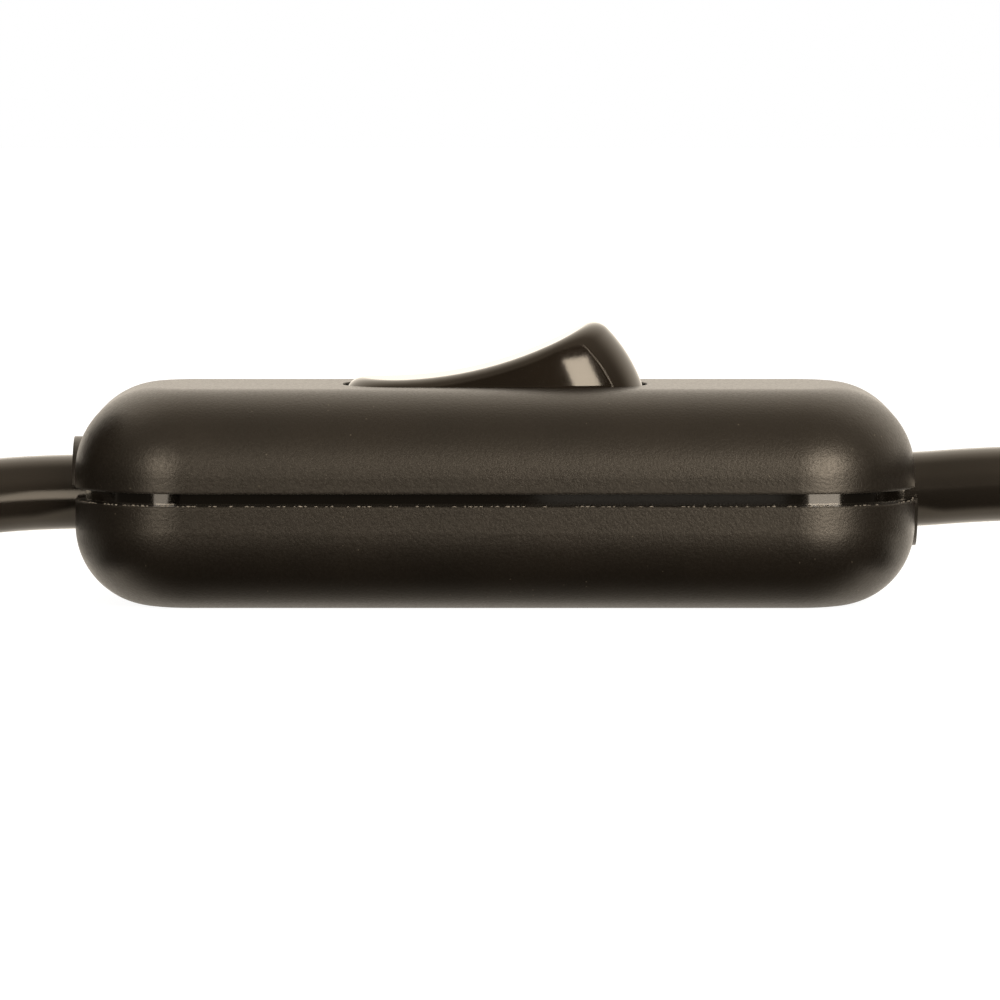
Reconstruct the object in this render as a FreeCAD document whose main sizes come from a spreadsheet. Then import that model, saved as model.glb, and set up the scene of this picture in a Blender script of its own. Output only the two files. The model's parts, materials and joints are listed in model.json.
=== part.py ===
"""Inline cord switch: a rocker switch on a round two-core cord.

Frame: +X along the cord, +Y away from the viewer of the long side, +Z up.
The origin is the middle of the flat underside. Millimetres and degrees.
"""
import FreeCAD
import Part
import math
import os
import Sketcher
from FreeCAD import Placement, Rotation, Vector

# Driving dimensions
SIZES = (
    # Housing
    ("body_length", "67.1"),
    ("body_width", "28.0"),
    ("body_height", "17.45"),
    ("corner_radius", "9.5"),
    ("top_rounding", "6.7"),
    ("bottom_rounding", "6.4"),
    ("wall", "1.8"),
    ("rim_drop", "0.24"),
    ("joint_gap", "1.0"),
    ("tongue_inset", "0.8"),
    ("tongue_lap", "1.2"),
    ("rebate_skin", "0.7"),
    ("collar_radius", "4.4"),
    ("collar_proud", "0.3"),
    ("collar_root", "1.0"),
    ("root_depth", "0.3"),
    # Cord where it enters the housing
    ("cord_diameter", "6.0"),
    ("cord_rise", "0.1"),
    ("bore_gap", "0.05"),
    ("core_radius", "1.1"),
    ("core_spread", "1.3"),
    ("wire_radius", "0.55"),
    ("bare_start", "0.8"),
    ("wire_end_room", "0.6"),
    # Rocker
    ("pivot_depth", "4.2"),
    ("rocker_margin", "4.225"),
    ("rocker_half_width", "5.3"),
    ("rocker_corner", "4.8"),
    ("rocker_dip", "5.7"),
    ("rocker_top_radius", "31.0"),
    ("rocker_skirt", "2.5"),
    ("rocker_wall", "1.4"),
    ("rocker_edge", "1.5"),
    ("rocker_gap", "0.4"),
    ("rest_tilt", "13.4"),
    ("trunnion_radius", "1.2"),
    ("trunnion_gap", "0.05"),
    ("trunnion_root", "0.8"),
    ("trunnion_end", "0.2"),
    ("cheek_thick", "1.3"),
    ("cheek_half_length", "4.5"),
    ("cheek_drop", "2.2"),
    ("cheek_gap", "0.05"),
    # Stem, plunger and spring
    ("stem_radius", "2.3"),
    ("stem_bottom", "3.0"),
    ("stem_bore", "1.3"),
    ("stem_bore_top", "2.4"),
    ("plunger_gap", "0.05"),
    ("plunger_tip", "1.0"),
    ("plunger_neck", "0.9"),
    ("plunger_lift", "0.1"),
    ("guide_inset", "0.6"),
    ("guide_top", "0.9"),
    ("spring_wire", "0.15"),
    ("spring_turns", "5"),
    ("spring_gap", "0.1"),
    # Contact lever
    ("lever_drop", "6.2"),
    ("lever_end_room", "4.15"),
    ("lever_thick", "0.7"),
    ("lever_half_width", "1.8"),
    ("wing_angle", "11.6"),
    ("lever_tilt", "6.0"),
    ("crest_radius", "0.3"),
    ("ridge_half_length", "1.4"),
    ("ridge_foot", "0.8"),
    ("lever_guide_gap", "0.2"),
    ("lever_guide_thick", "0.7"),
    ("lever_guide_rise", "1.5"),
    ("lever_guide_half", "1.1"),
    ("fulcrum_half_length", "1.5"),
    ("fulcrum_half_width", "2.5"),
    ("contact_inset", "1.2"),
    ("contact_radius", "1.2"),
    ("contact_thick", "0.6"),
    ("contact_gap", "0.05"),
    ("contact_margin", "0.4"),
    ("contact_seat_half", "1.3"),
    # Terminals
    ("strap_drop", "1.7"),
    ("strap_thick", "0.8"),
    ("strap_width", "2.0"),
    ("strap_lap", "1.0"),
    ("terminal_back", "1.975"),
    ("terminal_width", "4.0"),
    ("terminal_side", "3.5"),
    ("terminal_rise", "3.1"),
    ("wire_hole_radius", "1.0"),
    ("terminal_screw_radius", "1.25"),
    ("terminal_head_thick", "1.1"),
    ("terminal_head_edge", "0.2"),
    ("terminal_head_lift", "0.3"),
    ("tapping_gap", "0.03"),
    ("press_gap", "0.02"),
    ("hold_down_room", "0.9"),
    ("hold_down_inset", "0.2"),
    ("hold_down_thick", "0.9"),
    ("barrier_drop", "1.0"),
    ("barrier_thick", "1.0"),
    ("screw_slot_width", "0.5"),
    ("screw_slot_depth", "0.6"),
    # Cord clamps
    ("clamp_back", "0.56"),
    ("clamp_rise", "1.3"),
    ("clamp_width", "3.6"),
    ("clamp_thick", "1.4"),
    ("clamp_half_span", "7.8"),
    ("clamp_screw_side", "5.6"),
    ("clamp_screw_radius", "1.25"),
    ("clamp_head_radius", "2.0"),
    ("clamp_head_thick", "1.2"),
    ("clamp_pillar_radius", "1.9"),
    ("sheath_reach", "0.7"),
    ("clamp_way_gap", "0.1"),
    ("clamp_screw_floor", "2.0"),
    ("clamp_pilot_floor", "1.2"),
    # Housing screws
    ("screw_back", "0.3"),
    ("screw_tip_room", "2.5"),
    ("screw_side", "7.6"),
    ("screw_radius", "1.4"),
    ("screw_head_radius", "2.5"),
    ("screw_head_thick", "1.6"),
    ("screw_sink", "3.2"),
    ("boss_radius", "2.4"),
    ("boss_foot_radius", "3.9"),
    ("boss_foot_top", "4.6"),
    ("screw_gap", "0.2"),
    ("screw_cross", "4.0"),
    ("thread_gap", "0.05"),
    ("pilot_end_room", "0.5"),
    # Hooks that hold the front edge closed
    ("hook_half_width", "2.0"),
    ("hook_thick", "0.9"),
    ("hook_foot", "5.0"),
    ("hook_reach", "2.6"),
    ("hook_nose", "0.5"),
    ("hook_nose_high", "0.8"),
    ("hook_gap", "0.1"),
    # Put-away cord
    ("hank_side", "10.0"),
    ("lane_small", "18.0"),
    ("lane_large", "21.0"),
    ("tie_thick", "0.6"),
    ("tie_width", "9.0"),
    ("tie_rounding", "0.54"),
    ("supply_hank_gap", "37.45"),
    ("supply_tie_place", "56.0"),
    ("supply_hank_run", "70.0"),
    ("supply_turns", "5"),
    ("turn_rise", "5.2"),
    ("load_hank_gap", "34.45"),
    ("load_tie_place", "22.0"),
    ("load_hank_edge", "2.85"),
    ("load_hank_run", "44.0"),
    ("tail_length", "9.0"),
    ("ferrule_length", "6.0"),
    ("ferrule_radius", "0.6"),
    ("ferrule_collar", "1.5"),
    ("ferrule_flare", "0.15"),
    # Plug
    ("plug_width", "35.3"),
    ("plug_thick", "13.7"),
    ("plug_front_length", "15.0"),
    ("plug_neck_length", "18.0"),
    ("plug_tail_length", "20.0"),
    ("plug_edge", "1.4"),
    ("plug_chamfer", "4.25"),
    ("plug_neck_half_width", "6.35"),
    ("plug_neck_half_thick", "4.25"),
    ("plug_neck_chamfer", "2.05"),
    ("plug_tail_start_wall", "0.5"),
    ("plug_tail_end_wall", "1.1"),
    ("plug_yaw", "168.0"),
    ("plug_back", "22.5"),
    ("plug_place_y", "-3.5"),
    ("pin_radius", "2.0"),
    ("pin_length", "19.0"),
    ("pin_spacing", "19.0"),
    ("pin_sleeve_length", "10.0"),
    ("pin_sleeve_radius", "1.8"),
    ("pin_root_radius", "1.5"),
    ("pin_end_rounding", "0.7"),
)
# Sizes and places that follow from the driving ones
DERIVED = (
    ("lower_rim", "=body_height / 2 - rim_drop"),
    ("upper_rim", "=lower_rim + joint_gap"),
    ("tongue_top", "=upper_rim + tongue_lap"),
    ("cord_height", "=body_height / 2 + cord_rise"),
    ("pivot_height", "=body_height - pivot_depth"),
    ("cheek_bottom", "=pivot_height - cheek_drop"),
    ("lever_pivot", "=pivot_height - lever_drop"),
    ("strap_bottom", "=lever_pivot - strap_drop"),
    ("terminal_top", "=cord_height + terminal_rise"),
    ("clamp_seat", "=cord_height + clamp_rise"),
    ("screw_tip", "=body_height - wall - screw_tip_room"),
    # A twelfth of the length sets the places along the cord
    ("step", "=body_length / 12"),
    ("rocker_radius", "=3 * step - rocker_margin"),
    ("lever_arm", "=rocker_radius - lever_end_room"),
    ("contact_arm", "=lever_arm - contact_inset"),
    ("terminal_start", "=3 * step - terminal_back"),
    ("terminal_length", "=step"),
    ("terminal_head_radius", "=terminal_length / 2 - hold_down_room"),
    (
        "terminal_screw_place",
        "=terminal_start + terminal_length - terminal_head_radius - terminal_head_edge",
    ),
    ("screw_place", "=4 * step - screw_back"),
    ("hook_place", "=3 * step"),
    ("clamp_place", "=5 * step - clamp_back"),
    # The put-away cord follows the housing's ends
    ("supply_hank_start", "=body_length / 2 + supply_hank_gap"),
    ("load_hank_start", "=body_length / 2 + load_hank_gap"),
    ("plug_place_x", "=0 - supply_hank_start - plug_back"),
)
# How far a cut runs past the material, and how far joined forms reach into each other
OVERRUN = 1
OVERLAP = 0.1

doc = FreeCAD.newDocument("inline_cord_switch")
sheet = doc.addObject("Spreadsheet::Sheet", "Sizes")
for row, (alias, number) in enumerate(SIZES + DERIVED, start=1):
    sheet.set(f"A{row}", alias)
    sheet.set(f"B{row}", number)
    sheet.setAlias(f"B{row}", alias)
doc.recompute()


class Size:
    """A number that keeps the sheet formula it comes from."""

    def __init__(self, value, formula):
        self.value = float(value)
        self.formula = formula

    def __add__(self, other):
        other = sized(other)
        return Size(self.value + other.value, f"({self.formula} + {other.formula})")

    def __sub__(self, other):
        other = sized(other)
        return Size(self.value - other.value, f"({self.formula} - {other.formula})")

    def __mul__(self, other):
        other = sized(other)
        return Size(self.value * other.value, f"({self.formula} * {other.formula})")

    def __truediv__(self, other):
        other = sized(other)
        return Size(self.value / other.value, f"({self.formula} / {other.formula})")

    def __neg__(self):
        return Size(-self.value, f"(0 - {self.formula})")

    def __radd__(self, other):
        return sized(other) + self

    def __rsub__(self, other):
        return sized(other) - self

    def __rmul__(self, other):
        return sized(other) * self

    def __float__(self):
        return self.value


def sized(number):
    """A plain number as a Size."""
    if isinstance(number, Size):
        return number
    return Size(number, f"({number})")


def sine(angle):
    """Sine of an angle in degrees."""
    angle = sized(angle)
    return Size(math.sin(math.radians(angle.value)), f"sin({angle.formula})")


def cosine(angle):
    """Cosine of an angle in degrees."""
    angle = sized(angle)
    return Size(math.cos(math.radians(angle.value)), f"cos({angle.formula})")


class Table:
    """Reads a size from the sheet by its alias."""

    def __getattr__(self, alias):
        return Size(getattr(sheet, alias), f"Sizes.{alias}")


S = Table()
nodes = []


def bind(thing, path, number):
    """Tie a property of an object to its formula."""
    thing.setExpression(path, sized(number).formula)


def plane(body, role):
    """One of a body's own origin planes."""
    return [item for item in body.Origin.OriginFeatures if item.Role == role][0]


def new_body(label, keep=True):
    """An empty body. The kept ones are written as nodes."""
    body = doc.addObject("PartDesign::Body", label)
    body.Label = label
    if keep:
        nodes.append(body)
    return body


def new_sketch(body, name, role="XY_Plane", lift=0):
    """A sketch on an origin plane, lifted along that plane's normal."""
    sketch = body.newObject("Sketcher::SketchObject", name)
    sketch.AttachmentSupport = (plane(body, role), [""])
    sketch.MapMode = "FlatFace"
    bind(sketch, ".AttachmentOffset.Base.z", lift)
    sketch.AttachmentOffset = Placement(Vector(0, 0, sized(lift).value), Rotation())
    return sketch


def pin_point(sketch, item, end, x, y):
    """Hold one point of a sketch at x, y from its origin."""
    for kind, number in (("DistanceX", sized(x)), ("DistanceY", sized(y))):
        index = sketch.addConstraint(
            Sketcher.Constraint(kind, -1, 1, item, end, number.value)
        )
        bind(sketch, f"Constraints[{index}]", number)


def set_radius(sketch, item, radius):
    """Hold the radius of a circle or arc."""
    radius = sized(radius)
    index = sketch.addConstraint(Sketcher.Constraint("Radius", item, radius.value))
    bind(sketch, f"Constraints[{index}]", radius)


def draw_outline(sketch, points):
    """A closed outline of straight lines through the points."""
    first = sketch.GeometryCount
    count = len(points)
    spots = [Vector(sized(x).value, sized(y).value, 0) for x, y in points]
    for i in range(count):
        sketch.addGeometry(Part.LineSegment(spots[i], spots[(i + 1) % count]))
    for i in range(count):
        after = first + (i + 1) % count
        sketch.addConstraint(Sketcher.Constraint("Coincident", first + i, 2, after, 1))
    for i, (x, y) in enumerate(points):
        pin_point(sketch, first + i, 1, x, y)


def draw_box(sketch, low_x, low_y, high_x, high_y):
    """A rectangle from its low corner to its high corner."""
    draw_outline(
        sketch, ((low_x, low_y), (high_x, low_y), (high_x, high_y), (low_x, high_y))
    )


def draw_circle(sketch, x, y, radius):
    """A circle at x, y."""
    spot = Vector(sized(x).value, sized(y).value, 0)
    item = sketch.addGeometry(
        Part.Circle(spot, Vector(0, 0, 1), sized(radius).value)
    )
    pin_point(sketch, item, 3, x, y)
    set_radius(sketch, item, radius)


def draw_rounded(sketch, length, width, radius):
    """A rounded rectangle about the sketch's origin."""
    first = sketch.GeometryCount
    half_x = sized(length) / 2
    half_y = sized(width) / 2
    radius = sized(radius)
    corner_x = half_x - radius
    corner_y = half_y - radius
    quarters = ((1, 1), (-1, 1), (-1, -1), (1, -1))
    for turn, (side_x, side_y) in enumerate(quarters):
        centre = Vector(side_x * corner_x.value, side_y * corner_y.value, 0)
        circle = Part.Circle(centre, Vector(0, 0, 1), radius.value)
        start = turn * math.pi / 2
        arc = sketch.addGeometry(Part.ArcOfCircle(circle, start, start + math.pi / 2))
        pin_point(sketch, arc, 3, side_x * corner_x, side_y * corner_y)
        set_radius(sketch, arc, radius)
        from_x = centre.x + radius.value * math.cos(start + math.pi / 2)
        from_y = centre.y + radius.value * math.sin(start + math.pi / 2)
        next_x, next_y = quarters[(turn + 1) % 4]
        to_x = next_x * corner_x.value + radius.value * math.cos(start + math.pi / 2)
        to_y = next_y * corner_y.value + radius.value * math.sin(start + math.pi / 2)
        sketch.addGeometry(
            Part.LineSegment(Vector(from_x, from_y, 0), Vector(to_x, to_y, 0))
        )
    for turn in range(4):
        arc = first + 2 * turn
        line = arc + 1
        after = first + (2 * turn + 2) % 8
        sketch.addConstraint(Sketcher.Constraint("Tangent", arc, 2, line, 1))
        sketch.addConstraint(Sketcher.Constraint("Tangent", line, 2, after, 1))


def add_feature(body, kind, sketch, length, middle=False, back=False):
    """A pad or pocket of a sketch over a length."""
    before = body.Shape.Volume if body.Tip else 0.0
    feature = body.newObject(f"PartDesign::{kind}", f"{sketch.Name}_{kind}")
    feature.Profile = sketch
    feature.Type = "Length"
    feature.Length = sized(length).value
    bind(feature, "Length", length)
    feature.Midplane = middle
    feature.Reversed = back
    sketch.Visibility = False
    doc.recompute()
    gain = body.Shape.Volume - before
    if (gain <= 0) == (kind == "Pad"):
        raise RuntimeError(f"{body.Label}: {feature.Name} changes nothing")
    return feature


def pad(body, sketch, length, middle=False, back=False):
    """Add material."""
    return add_feature(body, "Pad", sketch, length, middle, back)


def pocket(body, sketch, length, middle=False, back=False):
    """Take material away."""
    return add_feature(body, "Pocket", sketch, length, middle, back)


def round_edges(body, radius, chosen):
    """Fillet the edges of a body's present shape that the test chooses."""
    base = body.Tip
    names = [
        f"Edge{i}" for i, edge in enumerate(base.Shape.Edges, start=1) if chosen(edge)
    ]
    if not names:
        raise RuntimeError(f"{body.Label}: no edge to round")
    feature = body.newObject("PartDesign::Fillet", f"{body.Name}_Rounding")
    feature.Base = (base, names)
    feature.Radius = sized(radius).value
    bind(feature, "Radius", radius)
    doc.recompute()
    return feature


def at_height(level):
    """A test for edges that lie wholly at one height."""
    level = sized(level).value

    def test(edge):
        box = edge.BoundBox
        return abs(box.ZMin - level) < 0.001 and abs(box.ZMax - level) < 0.001

    return test


def tilt(thing, degrees, place_z, axis=Vector(0, 1, 0), place_x=0):
    """Turn an object about the Y direction and lift it to its place."""
    degrees = sized(degrees)
    base = Vector(sized(place_x).value, 0, sized(place_z).value)
    thing.Placement = Placement(base, Rotation(axis, degrees.value))
    bind(thing, ".Placement.Base.x", place_x)
    bind(thing, ".Placement.Base.z", place_z)
    bind(thing, ".Placement.Rotation.Angle", degrees)


def primitive(kind, label, keep=True, place=(0, 0, 0), axis=None, **lengths):
    """A primitive with its lengths and place tied to the sheet."""
    thing = doc.addObject(f"Part::{kind}", label)
    thing.Label = label
    for name, number in lengths.items():
        setattr(thing, name, sized(number).value)
        bind(thing, name, number)
    spot = Vector(*[sized(number).value for number in place])
    turn = Rotation(Vector(0, 0, 1), axis) if axis else Rotation()
    thing.Placement = Placement(spot, turn)
    for name, number in zip("xyz", place):
        bind(thing, f".Placement.Base.{name}", number)
    if keep:
        nodes.append(thing)
    return thing


def fuse(label, things, keep=True):
    """Several objects made one."""
    thing = doc.addObject("Part::MultiFuse", label)
    thing.Label = label
    thing.Shapes = things
    thing.Refine = True
    if keep:
        nodes.append(thing)
    return thing


def cut(label, base, tool, keep=True):
    """One object less another."""
    thing = doc.addObject("Part::Cut", label)
    thing.Label = label
    thing.Base = base
    thing.Tool = tool
    thing.Refine = True
    if keep:
        nodes.append(thing)
    return thing


def group(label, things):
    """Like solids kept apart in one node."""
    thing = doc.addObject("Part::Compound", label)
    thing.Label = label
    thing.Links = things
    nodes.append(thing)
    return thing


def add_shape(label, shape):
    """Keep a finished shape as a node."""
    thing = doc.addObject("Part::Feature", label)
    thing.Label = label
    thing.Shape = shape
    nodes.append(thing)
    return thing


# Values that several pieces share
half_length = S.body_length / 2
cord_radius = S.cord_diameter / 2
bore_radius = cord_radius + S.bore_gap
ceiling = S.body_height - S.wall
aperture_half_width = S.rocker_half_width + S.rocker_gap
cheek_inner = aperture_half_width + S.cheek_gap
cheek_outer = cheek_inner + S.cheek_thick
strap_top = S.strap_bottom + S.strap_thick
terminal_end = S.terminal_start + S.terminal_length
block_inner = S.terminal_side - S.terminal_width / 2
block_outer = S.terminal_side + S.terminal_width / 2
strap_inner = block_outer - S.strap_width
clamp_inner_face = S.clamp_place - S.clamp_width / 2
sheath_end = clamp_inner_face - S.sheath_reach
cord_exit = half_length + S.collar_proud
SIDES = ((-1, "left"), (1, "right"))
screw_sides = ((-1, 1), (1, 1))
# The hooks stand just inside the front wall and end above the upper rim
hook_outer = S.body_width / 2 - S.wall - S.hook_gap
hook_inner = hook_outer - S.hook_thick
hook_top = S.upper_rim + S.hook_reach


def add_collar(body, side):
    """A low half ring over the cord's way in, at one end."""
    sketch = new_sketch(
        body, f"{body.Name}_collar", "YZ_Plane", side * (half_length - S.collar_root)
    )
    draw_circle(sketch, 0, S.cord_height, S.collar_radius)
    pad(body, sketch, S.collar_proud + S.collar_root, back=side < 0)


def cut_cord_bores(body):
    """The round way in for the cord, at both ends."""
    for side, word in SIDES:
        sketch = new_sketch(
            body, f"{body.Name}_bore_{word}", "YZ_Plane", side * (sheath_end - OVERRUN)
        )
        draw_circle(sketch, 0, S.cord_height, bore_radius)
        pocket(body, sketch, half_length - sheath_end + 3 * OVERRUN, back=side > 0)


def post(body, name, bottom, top, *shapes):
    """Posts between two heights: boxes of four numbers or circles of three."""
    sketch = new_sketch(body, f"{body.Name}_{name}", "XY_Plane", bottom)
    for shape in shapes:
        if len(shape) == 3:
            draw_circle(sketch, *shape)
        else:
            draw_box(sketch, *shape)
    pad(body, sketch, sized(top) - bottom)


def hole(body, name, bottom, top, *circles):
    """Round holes between two heights."""
    sketch = new_sketch(body, f"{body.Name}_{name}", "XY_Plane", bottom)
    for circle in circles:
        draw_circle(sketch, *circle)
    pocket(body, sketch, sized(top) - bottom, back=True)


def hollow_out(body, bottom, top, rounded_level, radius):
    """Cut the shell's inside, with its own rounding at one level."""
    tool = new_body(f"{body.Name}_inside", keep=False)
    inside = new_sketch(tool, f"{body.Name}_inside_plan", "XY_Plane", bottom)
    draw_rounded(
        inside,
        S.body_length - 2 * S.wall,
        S.body_width - 2 * S.wall,
        S.corner_radius - S.wall,
    )
    pad(tool, inside, sized(top) - bottom)
    round_edges(tool, radius, at_height(rounded_level))
    boolean = body.newObject("PartDesign::Boolean", f"{body.Name}_hollow")
    boolean.Type = "Cut"
    boolean.setObjects([tool])
    doc.recompute()


def add_hooks(body):
    """Two hooks on the lower front wall whose noses reach into the upper one."""
    wall_face = S.body_width / 2 - S.wall
    for side, word in SIDES:
        low = side * S.hook_place - S.hook_half_width
        high = side * S.hook_place + S.hook_half_width
        foot = (low, -wall_face - OVERLAP, high, -hook_inner)
        post(body, f"hook_foot_{word}", S.hook_foot, S.tongue_top, foot)
        stem = (low, -hook_outer, high, -hook_inner)
        post(body, f"hook_{word}", S.tongue_top - OVERLAP, hook_top, stem)
        nose = (low, -wall_face - S.hook_nose, high, -hook_inner)
        post(body, f"hook_nose_{word}", hook_top - S.hook_nose_high, hook_top, nose)


def cut_hook_pockets(body):
    """The pockets behind which the noses catch."""
    reach = S.body_width / 2 - S.wall + S.hook_nose + S.hook_gap
    for side, word in SIDES:
        low = side * S.hook_place - S.hook_half_width - S.hook_gap
        high = side * S.hook_place + S.hook_half_width + S.hook_gap
        pocket_low = hook_top - S.hook_nose_high - S.hook_gap
        sketch = new_sketch(body, f"hook_pocket_{word}", "XY_Plane", pocket_low)
        draw_box(sketch, low, -reach, high, -hook_inner)
        pocket(body, sketch, S.hook_nose_high + 2 * S.hook_gap, back=True)


def make_lower_shell():
    """The half that carries the clamps, the terminals and the screw heads."""
    body = new_body("lower_shell")
    outer = new_sketch(body, "lower_outer")
    draw_rounded(outer, S.body_length, S.body_width, S.corner_radius)
    pad(body, outer, S.body_height)
    round_edges(body, S.bottom_rounding, at_height(0))
    add_collar(body, 1)
    rim = new_sketch(body, "lower_rim_cut", "XY_Plane", S.lower_rim)
    draw_box(rim, -S.body_length, -S.body_width, S.body_length, S.body_width)
    pocket(body, rim, S.body_height, back=True)
    hollow_out(body, S.wall, S.body_height, S.wall, S.bottom_rounding - S.wall)
    tongue = new_sketch(body, "lower_tongue", "XY_Plane", S.lower_rim)
    for inset in (S.tongue_inset, S.wall):
        draw_rounded(
            tongue,
            S.body_length - 2 * inset,
            S.body_width - 2 * inset,
            S.corner_radius - inset,
        )
    pad(body, tongue, S.tongue_top - S.lower_rim)

    for side, word in SIDES:
        near = side * S.terminal_start
        far = side * terminal_end
        low, high = (near, far) if side > 0 else (far, near)
        post(
            body,
            f"seat_{word}",
            S.wall,
            S.strap_bottom,
            (low, block_inner, high, block_outer),
            (low, -block_outer, high, -block_inner),
        )
        post(
            body,
            f"barrier_{word}",
            S.wall,
            S.terminal_top - S.barrier_drop,
            (low, -S.barrier_thick / 2, high, S.barrier_thick / 2),
        )
        face = side * clamp_inner_face
        back = side * (clamp_inner_face + S.clamp_width)
        low, high = (face, back) if side > 0 else (back, face)
        post(
            body,
            f"saddle_{word}",
            S.wall,
            S.cord_height,
            (low, -S.clamp_screw_side, high, S.clamp_screw_side),
        )
        for across in (-1, 1):
            name = f"pillar_{word}_{'front' if across < 0 else 'back'}"
            place = (side * S.clamp_place, across * S.clamp_screw_side)
            post(body, name, S.wall, S.clamp_seat, (*place, S.clamp_pillar_radius))
    long, wide = S.fulcrum_half_length, S.fulcrum_half_width
    post(body, "fulcrum_seat", S.wall, S.strap_bottom, (-long, -wide, long, wide))
    low, high = (side * S.contact_seat_half - S.contact_arm for side in (-1, 1))
    post(
        body,
        "contact_seat",
        S.wall,
        S.strap_bottom,
        (low, -S.contact_radius, high, S.contact_radius),
    )
    places = [(x * S.screw_place, y * S.screw_side) for x, y in screw_sides]
    feet = [(*place, S.boss_foot_radius) for place in places]
    post(body, "boss_feet", S.wall, S.boss_foot_top, *feet)
    bosses = [(*place, S.boss_radius) for place in places]
    post(body, "bosses", S.wall, S.lower_rim, *bosses)
    add_hooks(body)
    cut_cord_bores(body)
    sinks = [(*place, S.screw_head_radius + S.screw_gap) for place in places]
    hole(body, "screw_sinks", -OVERRUN, S.screw_sink, *sinks)
    ways = [(*place, S.screw_radius + S.screw_gap) for place in places]
    hole(body, "screw_ways", S.screw_sink - OVERLAP, S.lower_rim + OVERRUN, *ways)
    pilots = [
        (x * S.clamp_place, y * S.clamp_screw_side, S.clamp_screw_radius + S.thread_gap)
        for x in (-1, 1)
        for y in (-1, 1)
    ]
    low = S.wall + S.clamp_pilot_floor
    hole(body, "clamp_pilots", low, S.clamp_seat + OVERRUN, *pilots)
    return body


def disc_form(body, radius, half_width, corner, name):
    """A disc about the Y axis whose rim corners are rounded."""
    sketch = new_sketch(body, f"{name}_disc", "XZ_Plane")
    draw_circle(sketch, 0, 0, radius)
    pad(body, sketch, 2 * half_width, middle=True)
    round_edges(body, corner, lambda edge: edge.Length > 1)


def make_upper_shell():
    """The half with the rocker's opening and bearings."""
    body = new_body("upper_moulding", keep=False)
    outer = new_sketch(body, "upper_outer")
    draw_rounded(outer, S.body_length, S.body_width, S.corner_radius)
    pad(body, outer, S.body_height)
    round_edges(body, S.top_rounding, at_height(S.body_height))
    add_collar(body, -1)
    rim = new_sketch(body, "upper_rim_cut", "XY_Plane", S.upper_rim)
    draw_box(rim, -S.body_length, -S.body_width, S.body_length, S.body_width)
    pocket(body, rim, S.body_height)
    hollow_out(body, 0, ceiling, ceiling, S.top_rounding - S.wall)
    rebate = new_sketch(body, "upper_rebate", "XY_Plane", S.upper_rim)
    draw_rounded(
        rebate,
        S.body_length - 2 * S.rebate_skin,
        S.body_width - 2 * S.rebate_skin,
        S.corner_radius - S.rebate_skin,
    )
    pocket(body, rebate, S.tongue_top - S.upper_rim, back=True)

    for side, word in ((-1, "back"), (1, "front")):
        cheek = new_sketch(
            body, f"cheek_{word}", "XZ_Plane", side * (cheek_inner + cheek_outer) / 2
        )
        draw_box(
            cheek,
            -S.cheek_half_length,
            S.cheek_bottom,
            S.cheek_half_length,
            ceiling + S.root_depth,
        )
        pad(body, cheek, S.cheek_thick, middle=True)
    for side, word in SIDES:
        near = S.terminal_start + S.hold_down_inset
        far = near + S.hold_down_thick
        low, high = sorted((side * near, side * far), key=float)
        post(
            body,
            f"hold_down_{word}",
            S.terminal_top,
            ceiling + S.root_depth,
            (low, block_inner, high, block_outer),
            (low, -block_outer, high, -block_inner),
        )
    places = [(x * S.screw_place, y * S.screw_side) for x, y in screw_sides]
    bosses = [(*place, S.boss_radius) for place in places]
    post(body, "bosses", S.lower_rim, ceiling, *bosses)
    pilots = [(*place, S.screw_radius + S.thread_gap) for place in places]
    top = S.screw_tip + S.pilot_end_room
    hole(body, "pilots", S.lower_rim - OVERRUN, top, *pilots)
    cut_hook_pockets(body)
    cut_cord_bores(body)
    bearing = new_sketch(body, "bearings", "XZ_Plane")
    draw_circle(bearing, 0, S.pivot_height, S.trunnion_radius + S.trunnion_gap)
    pocket(body, bearing, 2 * cheek_outer + OVERRUN, middle=True)

    opening = new_body("rocker_opening", keep=False)
    disc_form(
        opening,
        S.rocker_radius + S.rocker_gap,
        aperture_half_width,
        S.rocker_corner + S.rocker_gap,
        "opening",
    )
    tilt(opening, 0, S.pivot_height)
    return cut("upper_shell", body, opening)


def rocker_form(label, inset):
    """The rocker's outline, drawn about its pivot and shrunk by an inset."""
    body = new_body(label, keep=False)
    disc_form(
        body,
        S.rocker_radius - inset,
        S.rocker_half_width - inset,
        S.rocker_corner - inset,
        label,
    )
    top = new_sketch(body, f"{label}_dish", "XZ_Plane")
    rise = S.rocker_dip + S.rocker_top_radius
    draw_circle(top, 0, rise, S.rocker_top_radius + inset)
    across = 2 * (S.rocker_half_width + OVERRUN)
    pocket(body, top, across, middle=True)
    base = new_sketch(body, f"{label}_base", "XZ_Plane")
    wide = 2 * S.rocker_radius
    # The inner form reaches below the skirt, so that the rocker is open there
    low = S.rocker_skirt + (2 * OVERRUN if inset else 0)
    draw_box(base, -wide, -wide, wide, -low)
    pocket(body, base, across, middle=True)
    return body


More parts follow.
